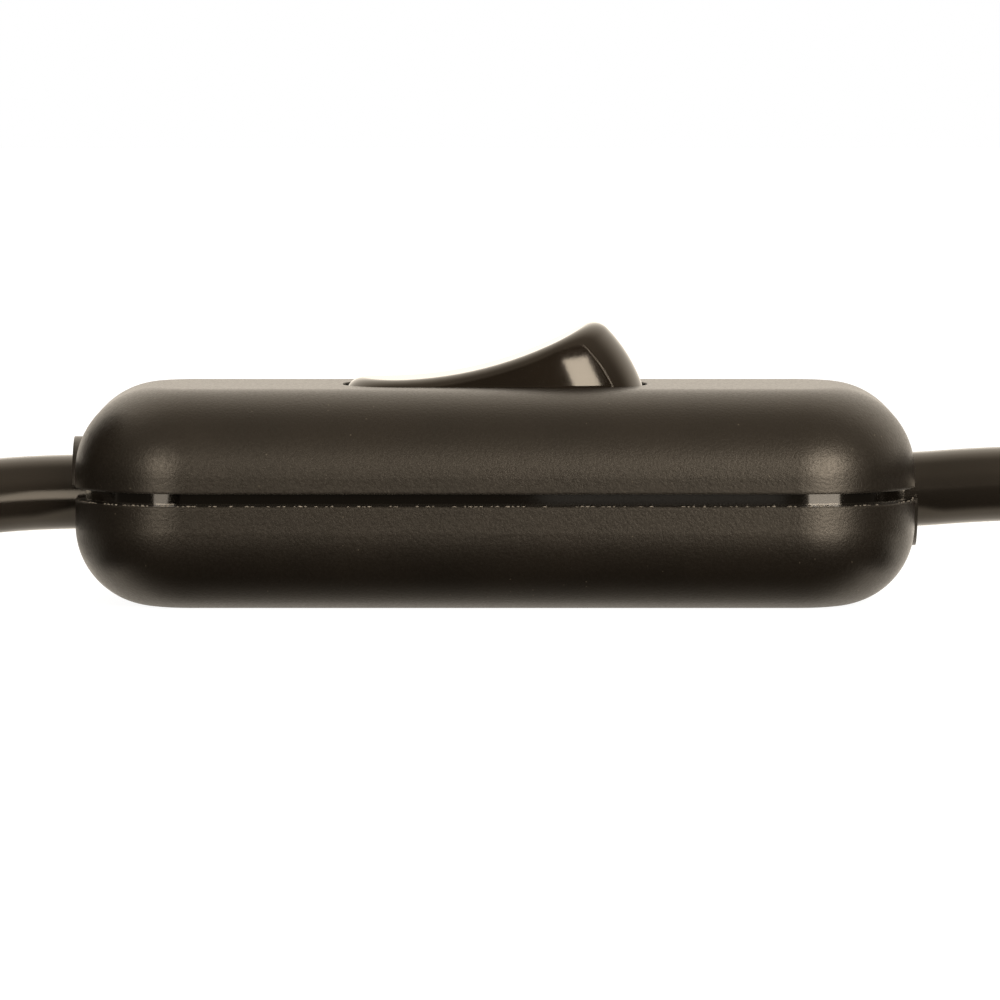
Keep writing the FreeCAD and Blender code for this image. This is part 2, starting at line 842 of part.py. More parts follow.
def make_rocker():
    """A hollow dished rocker with two trunnions and a stem for the plunger."""
    outer = rocker_form("rocker_outer", 0)
    dish_low = float(S.rocker_dip - S.rocker_edge / 2)

    def top_edge(edge):
        return edge.BoundBox.ZMin > dish_low

    round_edges(outer, S.rocker_edge, top_edge)
    inner = rocker_form("rocker_inner", S.rocker_wall)
    shell = cut("rocker_shell", outer, inner, keep=False)
    pins = []
    for side, word in ((-1, "front"), (1, "back")):
        start = S.rocker_half_width - S.trunnion_root
        length = cheek_outer + S.trunnion_end - start
        pins.append(
            primitive(
                "Cylinder",
                f"trunnion_{word}",
                keep=False,
                place=(0, side * start, 0),
                axis=Vector(0, side, 0),
                Radius=S.trunnion_radius,
                Height=length,
            )
        )
    stem = primitive(
        "Cylinder",
        "stem",
        keep=False,
        place=(0, 0, -S.stem_bottom),
        Radius=S.stem_radius,
        Height=S.stem_bottom + S.rocker_dip - S.rocker_wall / 2,
    )
    solid = fuse("rocker_solid", [shell, stem, *pins], keep=False)
    bore = primitive(
        "Cylinder",
        "stem_way",
        keep=False,
        place=(0, 0, -S.stem_bottom - OVERRUN),
        Radius=S.stem_bore,
        Height=S.stem_bottom + OVERRUN + S.stem_bore_top,
    )
    rocker = cut("rocker", solid, bore)
    tilt(rocker, S.rest_tilt, S.pivot_height, Vector(0, -1, 0))
    return rocker


# Height of the lever's upper side over its pivot, and the plunger's tip above it
lever_top = S.lever_thick / cosine(S.wing_angle)
tip_reach = (
    S.pivot_height
    - S.lever_pivot
    - lever_top
    - (S.plunger_tip + S.plunger_lift) / cosine(S.wing_angle)
)
guide_radius = S.stem_bore - S.plunger_gap
guide_bottom = S.stem_bottom - S.guide_inset


def make_plunger():
    """A round-nosed plunger that slides in the rocker's stem."""
    nose = primitive(
        "Sphere", "nose", keep=False, place=(0, 0, -tip_reach), Radius=S.plunger_tip
    )
    neck = primitive(
        "Cylinder",
        "neck",
        keep=False,
        place=(0, 0, -tip_reach),
        Radius=S.plunger_neck,
        Height=tip_reach - guide_bottom + OVERLAP,
    )
    guide = primitive(
        "Cylinder",
        "guide",
        keep=False,
        place=(0, 0, -guide_bottom),
        Radius=guide_radius,
        Height=guide_bottom - S.guide_top,
    )
    plunger = fuse("plunger", [nose, neck, guide])
    tilt(plunger, S.rest_tilt, S.pivot_height, Vector(0, -1, 0))
    return plunger


def make_spring():
    """A coil spring in the stem, each half turn a tilted sector of a ring."""
    coil = (S.stem_bore - S.spring_wire - S.spring_gap).value
    low = (S.spring_wire - S.guide_top).value
    high = (S.stem_bore_top - S.spring_wire).value
    half_turns = int(2 * S.spring_turns.value)
    rise = (high - low) / half_turns
    sectors = []
    for number in range(half_turns):
        side = 1 if number % 2 == 0 else -1
        start = Vector(side * coil, 0, low + number * rise)
        disc = Part.Face(
            Part.Wire(Part.makeCircle(S.spring_wire.value, start, Vector(0, 1, 0)))
        )
        centre = Vector(0, 0, start.z + rise / 2)
        sectors.append(disc.revolve(centre, Vector(side * rise / 2, 0, coil), 180))
    spring = add_shape("plunger_spring", sectors[0].multiFuse(sectors[1:]))
    tilt(spring, S.rest_tilt, S.pivot_height, Vector(0, -1, 0))
    return spring


def make_contact_lever():
    """A two-winged lever, raised at both ends, that rocks on a ridge."""
    body = new_body("contact_lever")
    reach = S.lever_arm
    along = cosine(S.wing_angle)
    up = sine(S.wing_angle)
    thick = S.lever_thick
    profile = new_sketch(body, "lever_profile", "XZ_Plane")
    draw_outline(
        profile,
        (
            (0, 0),
            (reach * along, reach * up),
            (reach * along - thick * up, reach * up + thick * along),
            (0, lever_top),
            (-(reach * along - thick * up), reach * up + thick * along),
            (-reach * along, reach * up),
        ),
    )
    pad(body, profile, 2 * S.lever_half_width, middle=True)
    groove = new_sketch(body, "lever_groove", "XZ_Plane")
    draw_circle(groove, 0, 0, S.crest_radius + S.contact_gap)
    pocket(body, groove, 2 * (S.lever_half_width + OVERRUN), middle=True)
    tilt(body, S.lever_tilt, S.lever_pivot)
    return body


def make_contacts():
    """The lever's own contact and the fixed one that it closes on."""
    open_angle = S.wing_angle + S.lever_tilt
    moving = primitive(
        "Cylinder", "moving_contact", Radius=S.contact_radius, Height=S.contact_thick
    )
    place_x = -(S.contact_arm * cosine(open_angle) + S.contact_thick * sine(open_angle))
    place_z = (
        S.lever_pivot
        + S.contact_arm * sine(open_angle)
        - S.contact_thick * cosine(open_angle)
    )
    tilt(moving, open_angle, place_z, place_x=place_x)
    closed_angle = S.wing_angle - S.lever_tilt
    face = (
        S.lever_pivot
        + S.contact_arm * sine(closed_angle)
        - S.contact_thick * cosine(closed_angle)
        - S.contact_radius * sine(closed_angle)
        - S.contact_gap
    )
    primitive(
        "Cylinder",
        "fixed_contact",
        place=(-S.contact_arm, 0, strap_top),
        Radius=S.contact_radius,
        Height=face - strap_top,
    )


def add_terminal_block(body, side, across, word):
    """A tapped block with a cross hole for the wire, on its strap."""
    low, high = sorted((side * S.terminal_start, side * terminal_end), key=float)
    near, far = sorted((across * block_inner, across * block_outer), key=float)
    post(body, f"block_{word}", S.strap_bottom, S.terminal_top, (low, near, high, far))
    way = new_sketch(body, f"{body.Name}_wire_{word}", "YZ_Plane", low - OVERRUN)
    draw_circle(way, across * S.terminal_side, S.cord_height, S.wire_hole_radius)
    pocket(body, way, S.terminal_length + 2 * OVERRUN, back=True)
    hole(
        body,
        f"tapping_{word}",
        S.cord_height,
        S.terminal_top + OVERRUN,
        (
            side * S.terminal_screw_place,
            across * S.terminal_side,
            S.terminal_screw_radius + S.tapping_gap,
        ),
    )


def make_supply_terminal():
    """The live terminal that carries the fixed contact."""
    body = new_body("supply_terminal")
    edge = S.contact_radius + S.contact_margin
    far = S.terminal_start + S.strap_lap
    strap = new_sketch(body, "supply_strap", "XY_Plane", S.strap_bottom)
    draw_outline(
        strap,
        (
            (-far, strap_inner),
            (-S.contact_arm - edge, strap_inner),
            (-S.contact_arm - edge, -edge),
            (-S.contact_arm + edge, -edge),
            (-S.contact_arm + edge, block_outer),
            (-far, block_outer),
        ),
    )
    pad(body, strap, S.strap_thick)
    add_terminal_block(body, -1, 1, "supply")
    return body


def make_load_terminal():
    """The live terminal that carries the lever's ridge and its guides."""
    body = new_body("load_terminal")
    half = S.ridge_half_length
    far = S.terminal_start + S.strap_lap
    guide = S.lever_half_width + S.lever_guide_gap
    guide_outer = guide + S.lever_guide_thick
    strap = new_sketch(body, "load_strap", "XY_Plane", S.strap_bottom)
    draw_outline(
        strap,
        (
            (-half, -guide_outer),
            (half, -guide_outer),
            (half, strap_inner),
            (far, strap_inner),
            (far, block_outer),
            (-half, block_outer),
        ),
    )
    pad(body, strap, S.strap_thick)
    ridge = new_sketch(body, "load_ridge", "XZ_Plane")
    foot = S.ridge_foot
    draw_outline(ridge, ((-foot, strap_top), (foot, strap_top), (0, S.lever_pivot)))
    pad(body, ridge, 2 * guide, middle=True)
    crest = new_sketch(body, "load_crest", "XZ_Plane")
    draw_circle(crest, 0, S.lever_pivot, S.crest_radius)
    pad(body, crest, 2 * guide, middle=True)
    post(
        body,
        "guides",
        strap_top,
        S.lever_pivot + S.lever_guide_rise,
        (-S.lever_guide_half, guide, S.lever_guide_half, guide_outer),
        (-S.lever_guide_half, -guide_outer, S.lever_guide_half, -guide),
    )
    add_terminal_block(body, 1, 1, "load")
    return body


def make_neutral_link():
    """A bar that joins the two neutral wires."""
    body = new_body("neutral_link")
    far = S.terminal_start + S.strap_lap
    bar = (-far, -block_outer, far, -strap_inner)
    post(body, "strap", S.strap_bottom, strap_top, bar)
    for side, word in SIDES:
        add_terminal_block(body, side, -1, word)
    return body


def make_screw(label, place, tip, seat, radius, head_radius, head_thick):
    """A slotted screw whose head sits on a seat and points down to its tip."""
    x, y = place
    shank = primitive(
        "Cylinder",
        f"{label}_shank",
        keep=False,
        place=(x, y, tip),
        Radius=radius,
        Height=seat - tip,
    )
    head = primitive(
        "Cylinder",
        f"{label}_head",
        keep=False,
        place=(x, y, seat),
        Radius=head_radius,
        Height=head_thick,
    )
    whole = fuse(f"{label}_whole", [shank, head], keep=False)
    slot = primitive(
        "Box",
        f"{label}_slot",
        keep=False,
        place=(
            x - head_radius - OVERRUN,
            y - S.screw_slot_width / 2,
            seat + head_thick - S.screw_slot_depth,
        ),
        Length=2 * (head_radius + OVERRUN),
        Width=S.screw_slot_width,
        Height=S.screw_slot_depth + OVERRUN,
    )
    return cut(label, whole, slot, keep=False)


def make_terminal_screws():
    """Four screws that press the wires in their blocks."""
    screws = []
    for side, word in SIDES:
        for across, line in ((1, "live"), (-1, "neutral")):
            screws.append(
                make_screw(
                    f"terminal_screw_{word}_{line}",
                    (side * S.terminal_screw_place, across * S.terminal_side),
                    S.cord_height + S.wire_radius + S.press_gap,
                    S.terminal_top + S.terminal_head_lift,
                    S.terminal_screw_radius,
                    S.terminal_head_radius,
                    S.terminal_head_thick,
                )
            )
    group("terminal_screws", screws)


def make_clamp_screws():
    """Four screws that hold the two clamps down."""
    screws = []
    for side, word in SIDES:
        for across, line in ((1, "back"), (-1, "front")):
            screws.append(
                make_screw(
                    f"clamp_screw_{word}_{line}",
                    (side * S.clamp_place, across * S.clamp_screw_side),
                    S.wall + S.clamp_screw_floor,
                    S.clamp_seat + S.clamp_thick,
                    S.clamp_screw_radius,
                    S.clamp_head_radius,
                    S.clamp_head_thick,
                )
            )
    group("clamp_screws", screws)


def make_housing_screws():
    """Two cross-slotted screws from below that close the housing."""
    screws = []
    for number, (x, y) in enumerate(screw_sides, start=1):
        place = (x * S.screw_place, y * S.screw_side)
        head_low = S.screw_sink - S.screw_head_thick
        shank = primitive(
            "Cylinder",
            f"housing_screw_{number}_shank",
            keep=False,
            place=(*place, S.screw_sink - OVERLAP),
            Radius=S.screw_radius,
            Height=S.screw_tip - S.screw_sink + OVERLAP,
        )
        head = primitive(
            "Cylinder",
            f"housing_screw_{number}_head",
            keep=False,
            place=(*place, head_low),
            Radius=S.screw_head_radius,
            Height=S.screw_head_thick,
        )
        whole = fuse(f"housing_screw_{number}_whole", [shank, head], keep=False)
        arms = []
        for turn in (0, 1):
            sides = [S.screw_cross, S.screw_slot_width]
            if turn:
                sides.reverse()
            arms.append(
                primitive(
                    "Box",
                    f"housing_screw_{number}_arm_{turn}",
                    keep=False,
                    place=(
                        place[0] - sides[0] / 2,
                        place[1] - sides[1] / 2,
                        head_low - OVERRUN,
                    ),
                    Length=sides[0],
                    Width=sides[1],
                    Height=S.screw_slot_depth + OVERRUN,
                )
            )
        cross = fuse(f"housing_screw_{number}_cross", arms, keep=False)
        screws.append(cut(f"housing_screw_{number}", whole, cross, keep=False))
    group("housing_screws", screws)


def make_clamp(side, word):
    """An arched bar over the sheath."""
    body = new_body(f"cord_clamp_{word}")
    start = side * S.clamp_place
    arch = new_sketch(body, f"arch_{word}", "YZ_Plane", start)
    draw_circle(arch, 0, S.cord_height, bore_radius + S.clamp_thick)
    pad(body, arch, S.clamp_width, middle=True)
    bar = new_sketch(body, f"bar_{word}", "YZ_Plane", start)
    draw_box(
        bar,
        -S.clamp_half_span,
        S.clamp_seat,
        S.clamp_half_span,
        S.clamp_seat + S.clamp_thick,
    )
    pad(body, bar, S.clamp_width, middle=True)
    way = new_sketch(body, f"way_{word}", "YZ_Plane", start)
    draw_circle(way, 0, S.cord_height, bore_radius)
    pocket(body, way, S.clamp_width + OVERRUN, middle=True)
    below = new_sketch(body, f"below_{word}", "YZ_Plane", start)
    draw_box(below, -S.body_width, 0, S.body_width, S.clamp_seat)
    pocket(body, below, S.clamp_width + OVERRUN, middle=True)
    ways = [
        (start, across * S.clamp_screw_side, S.clamp_screw_radius + S.clamp_way_gap)
        for across in (-1, 1)
    ]
    top = S.clamp_seat + S.clamp_thick + OVERRUN
    hole(body, "screw_ways", S.clamp_seat - OVERRUN, top, *ways)
    return body


# The most that a tube's volume may differ from its section times its length
TUBE_TOLERANCE = 0.01
# The share of a run that the arc at its end may take
ARC_SHARE = 0.45


def bent_tube(label, line, radius):
    """A round rod along a wire of runs and arcs: cylinders and ring sectors."""
    pieces = []
    for edge in line.Edges:
        heading = edge.tangentAt(edge.FirstParameter)
        spot = edge.valueAt(edge.FirstParameter)
        disc = Part.Face(Part.Wire(Part.makeCircle(radius, spot, heading)))
        if isinstance(edge.Curve, Part.Circle):
            turn = math.degrees(edge.Length / edge.Curve.Radius)
            pieces.append(disc.revolve(edge.Curve.Center, edge.Curve.Axis, turn))
        else:
            pieces.append(disc.extrude(heading * edge.Length))
    tube = pieces[0].multiFuse(pieces[1:])
    expected = math.pi * radius**2 * line.Length
    if len(tube.Solids) != 1 or abs(tube.Volume / expected - 1) > TUBE_TOLERANCE:
        raise RuntimeError(f"{label}: volume {tube.Volume:.1f}, not {expected:.1f}")
    return add_shape(label, tube)


def rounded_route(label, points):
    """Runs between the points, joined by tangent arcs as large as they allow."""
    edges = []
    radii = []
    before = points[0]
    for here, start, end in zip(points[1:-1], points, points[2:]):
        run_in = here - start
        run_out = end - here
        turn = run_in.getAngle(run_out)
        reach = ARC_SHARE * min(run_in.Length, run_out.Length)
        radii.append(reach / math.tan(turn / 2))
        way_in = Vector(run_in).normalize()
        way_out = Vector(run_out).normalize()
        arc_start = here - way_in * reach
        arc_end = here + way_out * reach
        inward = (way_out - way_in).normalize()
        depth = radii[-1] * (1 / math.cos(turn / 2) - 1)
        edges.append(Part.LineSegment(before, arc_start).toShape())
        edges.append(Part.Arc(arc_start, here + inward * depth, arc_end).toShape())
        before = arc_end
    edges.append(Part.LineSegment(before, points[-1]).toShape())
    print(label, "radii", [round(radius, 1) for radius in radii])
    return Part.Wire(edges)


def make_cord_ends():
    """Inside the housing: sheath ends, insulated cores and bare wires."""
    for side, word in SIDES:
        primitive(
            "Cylinder",
            f"sheath_end_{word}",
            place=(side * sheath_end, 0, S.cord_height),
            axis=Vector(side, 0, 0),
            Radius=cord_radius,
            Height=cord_exit - sheath_end,
        )
        for across, line in ((1, "live"), (-1, "neutral")):
            bare_from = float(terminal_end + S.bare_start)
            start = float(sheath_end)
            shift = float(S.terminal_side - S.core_spread)
            middle = (start + bare_from) / 2
            bend = 2 * math.atan2(shift, start - bare_from)
            radius = (start - bare_from) / (2 * math.sin(bend))
            level = float(S.cord_height)

            def spot(x, y):
                return Vector(side * x, across * y, level)

            near = float(S.core_spread)
            far = float(S.terminal_side)
            half_turn = radius * math.sin(bend / 2)
            drop = radius * (1 - math.cos(bend / 2))
            first = Part.Arc(
                spot(start, near),
                spot(start - half_turn, near + drop),
                spot(middle, near + shift / 2),
            )
            second = Part.Arc(
                spot(middle, near + shift / 2),
                spot(bare_from + half_turn, far - drop),
                spot(bare_from, far),
            )
            line_wire = Part.Wire([first.toShape(), second.toShape()])
            bent_tube(f"core_{word}_{line}", line_wire, S.core_radius.value)
            inner = S.terminal_start + S.wire_end_room
            primitive(
                "Cylinder",
                f"wire_{word}_{line}",
                place=(side * inner, across * S.terminal_side, S.cord_height),
                axis=Vector(side, 0, 0),
                Radius=S.wire_radius,
                Height=terminal_end + S.bare_start - inner,
            )


# The free cord, chosen by hand: how far out from its exit, across and up each point lies
SUPPLY_ROUTE = ((0.0, 0.0, 0.0), (8.15, 0.0, 0.0), (16.65, -1.6, -0.9), (25.15, -4.9, -2.5))
LOAD_ROUTE = ((0.0, 0.0, 0.0), (7.65, 0.0, 0.0), (15.65, -0.9, -0.8), (23.65, -2.9, -2.3))


def route_points(route, side):
    """The points of a route in the part's frame."""
    exit_x = cord_exit.value
    level = S.cord_height.value
    return [Vector(side * (exit_x + out), across, level + up) for out, across, up in route]


def race_track(radius, run, low, high, start, side):
    """A solid of racetrack plan between two heights."""
    middle_y = S.hank_side.value
    first = side * start
    last = side * (start + run)
    left, right = min(first, last), max(first, last)
    lower = Vector(left, middle_y - radius, low)
    upper = Vector(left, middle_y + radius, low)
    edges = [
        Part.LineSegment(lower, Vector(right, middle_y - radius, low)).toShape(),
        Part.Arc(
            Vector(right, middle_y - radius, low),
            Vector(right + radius, middle_y, low),
            Vector(right, middle_y + radius, low),
        ).toShape(),
        Part.LineSegment(Vector(right, middle_y + radius, low), upper).toShape(),
        Part.Arc(upper, Vector(left - radius, middle_y, low), lower).toShape(),
    ]
    return Part.Face(Part.Wire(edges)).extrude(Vector(0, 0, high - low))


def tie_band(x, low_y, high_y, top):
    """A flat band wound once round a hank."""
    thick = S.tie_thick.value
    width = S.tie_width.value
    outer = Part.makeBox(
        width,
        high_y - low_y + 2 * thick,
        top + thick,
        Vector(x - width / 2, low_y - thick, 0),
    )
    corners = [edge for edge in outer.Edges if edge.BoundBox.XLength > width / 2]
    outer = outer.makeFillet(S.tie_rounding.value, corners)
    inner = Part.makeBox(
        width + 2 * OVERRUN,
        high_y - low_y,
        top - thick,
        Vector(x - width / 2 - OVERRUN, low_y, thick),
    )
    return outer.cut(inner)


def make_supply_cord():
    """The long side: free stretch, hank of five turns and its tie."""
    radius = cord_radius.value
    low = S.tie_thick.value
    top = low + 2 * radius + S.turn_rise.value * (S.supply_turns.value - 1)
    start = S.supply_hank_start.value
    run = S.supply_hank_run.value
    outer = race_track(S.lane_large.value + radius, run, low, top, start, -1)
    inner = race_track(S.lane_small.value - radius, run, low, top, start, -1)
    hank = outer.cut(inner)
    points = route_points(SUPPLY_ROUTE, -1)
    tube = bent_tube("cord_supply", rounded_route("cord_supply", points), radius)
    tube.Shape = tube.Shape.cut(hank)
    add_shape("hank_supply", hank)
    reach = S.lane_large.value + radius
    middle = S.hank_side.value
    tie_x = -start - S.supply_tie_place.value
    add_shape("tie_supply", tie_band(tie_x, middle - reach, middle + reach, top))
    return top + S.tie_thick.value


def make_load_cord():
    """The short side: free stretch, one turn and a bare end lying on it."""
    radius = cord_radius.value
    low = S.tie_thick.value
    level = low + 2 * radius
    start = S.load_hank_start.value
    run = S.load_hank_run.value
    lane = S.lane_small.value
    outer = race_track(lane + radius, run, low, level, start, 1)
    inner = race_track(lane - radius, run, low, level, start, 1)
    middle = S.hank_side.value
    upper = Part.makeBox(
        run, 2 * radius, 2 * radius, Vector(start, middle - lane - radius, level)
    )
    long_edges = [edge for edge in upper.Edges if edge.BoundBox.XLength > run / 2]
    top_edges = [edge for edge in long_edges if edge.BoundBox.ZMin > level + radius]
    upper = upper.makeFillet(S.load_hank_edge.value, top_edges)
    hank = outer.cut(inner).fuse(upper).removeSplitter()
    points = route_points(LOAD_ROUTE, 1)
    tube = bent_tube("cord_load", rounded_route("cord_load", points), radius)
    tube.Shape = tube.Shape.cut(hank)
    add_shape("hank_load", hank)
    outer_y = middle - lane - radius
    tie_x = start + S.load_tie_place.value
    band = tie_band(tie_x, outer_y, outer_y + 2 * radius, level + 2 * radius)
    add_shape("tie_load", band)
    end = start + run
    height = level + radius
    core = S.core_radius.value
    tail = S.tail_length.value
    rim = S.ferrule_collar.value
    for across, line in ((-1, "live"), (1, "neutral")):
        y = middle - lane + across * S.core_spread.value
        add_shape(
            f"tail_{line}",
            Part.makeCylinder(core, tail, Vector(end, y, height), Vector(1, 0, 0)),
        )
        collar = Part.makeCone(
            core,
            core + S.ferrule_flare.value,
            rim,
            Vector(end + tail, y, height),
            Vector(1, 0, 0),
        )
        sleeve = Part.makeCylinder(
            S.ferrule_radius.value,
            S.ferrule_length.value,
            Vector(end + tail + rim, y, height),
            Vector(1, 0, 0),
        )
        add_shape(f"ferrule_{line}", collar.fuse(sleeve))


def plug_section(half_width, half_thick, chamfer, place):
    """A flattened octagon across the plug, as a wire."""
    y, z, c = half_width, half_thick, chamfer
    corners = (
        (y - c, z),
        (-y + c, z),
        (-y, z - c),
        (-y, -z + c),
        (-y + c, -z),
        (y - c, -z),
        (y, -z + c),
        (y, z - c),
    )
    spots = [Vector(place, a, b) for a, b in corners]
    return Part.makePolygon(spots + [spots[0]])


def make_plug(rest_height):
    """A flat two-pin plug, moulded on the cord with a tapered tail."""
    half_width = S.plug_width.value / 2
    half_thick = S.plug_thick.value / 2
    tail = S.plug_tail_length.value
    neck = tail + S.plug_neck_length.value
    front = neck + S.plug_front_length.value
    narrow = plug_section(
        S.plug_neck_half_width.value,
        S.plug_neck_half_thick.value,
        S.plug_neck_chamfer.value,
        tail,
    )
    broad = plug_section(half_width, half_thick, S.plug_chamfer.value, neck)
    shoulder = Part.makeLoft([narrow, broad], True, True)
    block = Part.Face(broad).extrude(Vector(front - neck, 0, 0))
    cone = Part.makeCone(
        (cord_radius + S.plug_tail_start_wall).value,
        (cord_radius + S.plug_tail_end_wall).value,
        tail,
        Vector(),
        Vector(1, 0, 0),
    )
    body = shoulder.fuse(block).removeSplitter()
    sharp = [edge for edge in body.Edges if edge.BoundBox.XMax > tail + OVERRUN]
    body = body.makeFillet(S.plug_edge.value, sharp).fuse(cone).removeSplitter()
    yaw = Rotation(Vector(0, 0, 1), S.plug_yaw.value)
    place = Vector(
        S.plug_place_x.value, S.plug_place_y.value, rest_height + half_thick
    )
    pieces = {"plug_body": body}
    pin = S.pin_radius.value
    sleeve_length = S.pin_sleeve_length.value
    for across, line in ((-1, "live"), (1, "neutral")):
        y = across * S.pin_spacing.value / 2
        root = Part.makeCylinder(
            S.pin_root_radius.value,
            sleeve_length,
            Vector(front, y, 0),
            Vector(1, 0, 0),
        )
        bare = S.pin_length.value - sleeve_length
        tip = Part.makeCylinder(
            pin, bare, Vector(front + sleeve_length, y, 0), Vector(1, 0, 0)
        )
        middle = front + sleeve_length + bare / 2
        rim = [edge for edge in tip.Edges if edge.BoundBox.XMin > middle]
        tip = tip.makeFillet(S.pin_end_rounding.value, rim)
        pieces[f"plug_pin_{line}"] = root.fuse(tip)
        outer = Part.makeCylinder(
            S.pin_sleeve_radius.value,
            sleeve_length,
            Vector(front, y, 0),
            Vector(1, 0, 0),
        )
        pieces[f"pin_sleeve_{line}"] = outer.cut(root)
    for label, shape in pieces.items():
        thing = add_shape(label, shape)
        thing.Placement = Placement(place, yaw)


make_lower_shell()
make_upper_shell()
make_rocker()
make_plunger()
make_spring()
make_contact_lever()
make_contacts()
make_supply_terminal()
make_load_terminal()
make_neutral_link()
make_terminal_screws()
make_clamp_screws()
make_housing_screws()
for side, word in SIDES:
    make_clamp(side, word)
make_cord_ends()
hank_top = make_supply_cord()
make_load_cord()
make_plug(hank_top)
doc.recompute()

# Every object and every node is checked before anything is written
for thing in doc.Objects:
    if "Invalid" in thing.State or "Error" in thing.State:
        raise RuntimeError(f"{thing.Label} did not build: {thing.State}")
for node in nodes:
    if node.Shape.isNull() or not node.Shape.isValid() or not node.Shape.Solids:
        raise RuntimeError(f"{node.Label} has no valid solid")

os.makedirs("parts", exist_ok=True)
for node in nodes:
    node.Shape.exportStep(f"parts/{node.Label}.step")
print(len(nodes), "nodes")
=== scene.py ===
# %% [markdown]
# # A rocker switch on its cord, dressed for a picture
#
# The part is an inline cord switch: two moulded halves, a glossy rocker and a round cord that
# leaves at both ends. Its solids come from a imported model, already in place and in metres.
# This notebook puts a camera where the photographer stood, lays the cords as real curves,
# adds what a quick solid lacks, and gives each surface its own finish.

import json
import math

import bpy
import bmesh
from mathutils import Matrix, Vector


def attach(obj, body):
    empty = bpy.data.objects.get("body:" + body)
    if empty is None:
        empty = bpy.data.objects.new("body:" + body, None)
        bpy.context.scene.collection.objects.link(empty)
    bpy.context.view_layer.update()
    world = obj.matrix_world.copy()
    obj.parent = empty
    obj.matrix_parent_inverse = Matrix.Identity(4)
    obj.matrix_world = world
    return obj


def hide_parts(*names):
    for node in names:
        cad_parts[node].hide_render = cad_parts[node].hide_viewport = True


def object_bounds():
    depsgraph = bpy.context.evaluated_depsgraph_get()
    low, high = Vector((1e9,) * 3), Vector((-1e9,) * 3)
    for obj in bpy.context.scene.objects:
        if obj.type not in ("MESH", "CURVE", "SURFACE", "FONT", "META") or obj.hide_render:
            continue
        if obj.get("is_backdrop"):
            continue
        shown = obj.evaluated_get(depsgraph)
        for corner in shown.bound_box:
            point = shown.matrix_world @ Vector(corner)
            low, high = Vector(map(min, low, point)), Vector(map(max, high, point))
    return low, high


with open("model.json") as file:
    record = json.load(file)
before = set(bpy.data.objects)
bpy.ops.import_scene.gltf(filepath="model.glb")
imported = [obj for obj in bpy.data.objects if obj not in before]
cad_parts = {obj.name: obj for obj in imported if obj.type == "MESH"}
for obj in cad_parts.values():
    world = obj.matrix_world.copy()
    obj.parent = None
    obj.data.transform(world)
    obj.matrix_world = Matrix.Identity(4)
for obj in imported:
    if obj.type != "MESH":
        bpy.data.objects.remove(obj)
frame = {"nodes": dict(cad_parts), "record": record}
nodes = frame["nodes"]
scene = bpy.context.scene
cad_low, cad_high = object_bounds()
print("nodes", len(nodes), "box in mm", [round(1000 * v, 1) for v in (*cad_low, *cad_high)])

# %% [markdown]
# ## Where the camera stands
#
# The photograph looks square at the long side of the switch, from about four degrees above the
# table. A long lens from 60 cm keeps both ends nearly free of perspective, as the photograph
# does. The aim is the middle of the picture: a little to the right of the switch's own middle
# and half its height above the table.

# %% Camera
AIM = Vector((0.0004, 0.0, 0.00807))
CAMERA_HEIGHT = math.radians(4.0)
CAMERA_DISTANCE = 0.6
LENS_MM = 268.0
SENSOR_MM = 36.0


def make_camera():
    """A long lens that looks along +Y and a little down."""
    data = bpy.data.cameras.new("studio_camera")
    data.lens = LENS_MM
    data.sensor_width = SENSOR_MM
    data.clip_start = 0.02
    data.clip_end = 10.0
    camera = bpy.data.objects.new("studio_camera", data)
    back = Vector((0.0, -math.cos(CAMERA_HEIGHT), math.sin(CAMERA_HEIGHT)))
    camera.location = AIM + back * CAMERA_DISTANCE
    camera.rotation_mode = "QUATERNION"
    camera.rotation_quaternion = (-back).to_track_quat("-Z", "Y")
    scene.collection.objects.link(camera)
    bpy.context.scene.camera = camera
    return camera


camera = make_camera()
print("camera at", [round(v, 4) for v in camera.location])

# %% [markdown]
# ## The cord as one smooth line
#
# A cord is a soft rod, so its middle line has no corners. A NURBS curve of order three gives
# just that: every stretch is part of a parabola, and the curve leaves its end points straight
# towards their neighbours. The bevel then gives the line its round section: a circle of one
# metre, scaled by the radius that each point carries, because Blender counts that radius in the
# curve's box. Order and end points are set after the points are there, because Blender lowers
# them on an empty spline.

# %% Helper: a cord from its route
CORD_THICK = 0.006
EXIT_HEIGHT = 0.00882


def lay_cord(name, route):
    """A round cord along a route, as one open NURBS spline."""
    curve = bpy.data.curves.new(name, "CURVE")
    curve.dimensions = "3D"
    spline = curve.splines.new("NURBS")
    spline.points.add(len(route) - 1)
    for point, place in zip(spline.points, route):
        point.co = (*place, 1.0)
        point.radius = CORD_THICK / 2
    spline.order_u = 3
    spline.use_endpoint_u = True
    spline.resolution_u = 12
    curve.bevel_mode = "ROUND"
    curve.bevel_depth = 1.0
    curve.bevel_resolution = 10
    curve.use_fill_caps = True
    piece = bpy.data.objects.new(name, curve)
    scene.collection.objects.link(piece)
    return piece


def length_of(piece):
    """The length of a cord's middle line, read with its bevel left off."""
    bare = bpy.data.objects.new("bare_line", piece.data.copy())
    bare.data.bevel_depth = 0.0
    mesh = bpy.data.meshes.new_from_object(bare)
    line = [vertex.co.copy() for vertex in mesh.vertices]
    bpy.data.meshes.remove(mesh)
    bpy.data.curves.remove(bare.data)
    return sum((b - a).length for a, b in zip(line, line[1:]))


# %% [markdown]
# ## The supply cord
#
# It starts inside the housing, under its clamp, and leaves on the left. It sinks to the table
# and swings a little towards the viewer. What the photograph doesn't show is put away as a
# hank: five turns, each folded round two loops and laid on the turn before. The near runs
# climb over the entering cord once a turn, in a long low hump beside the fold.

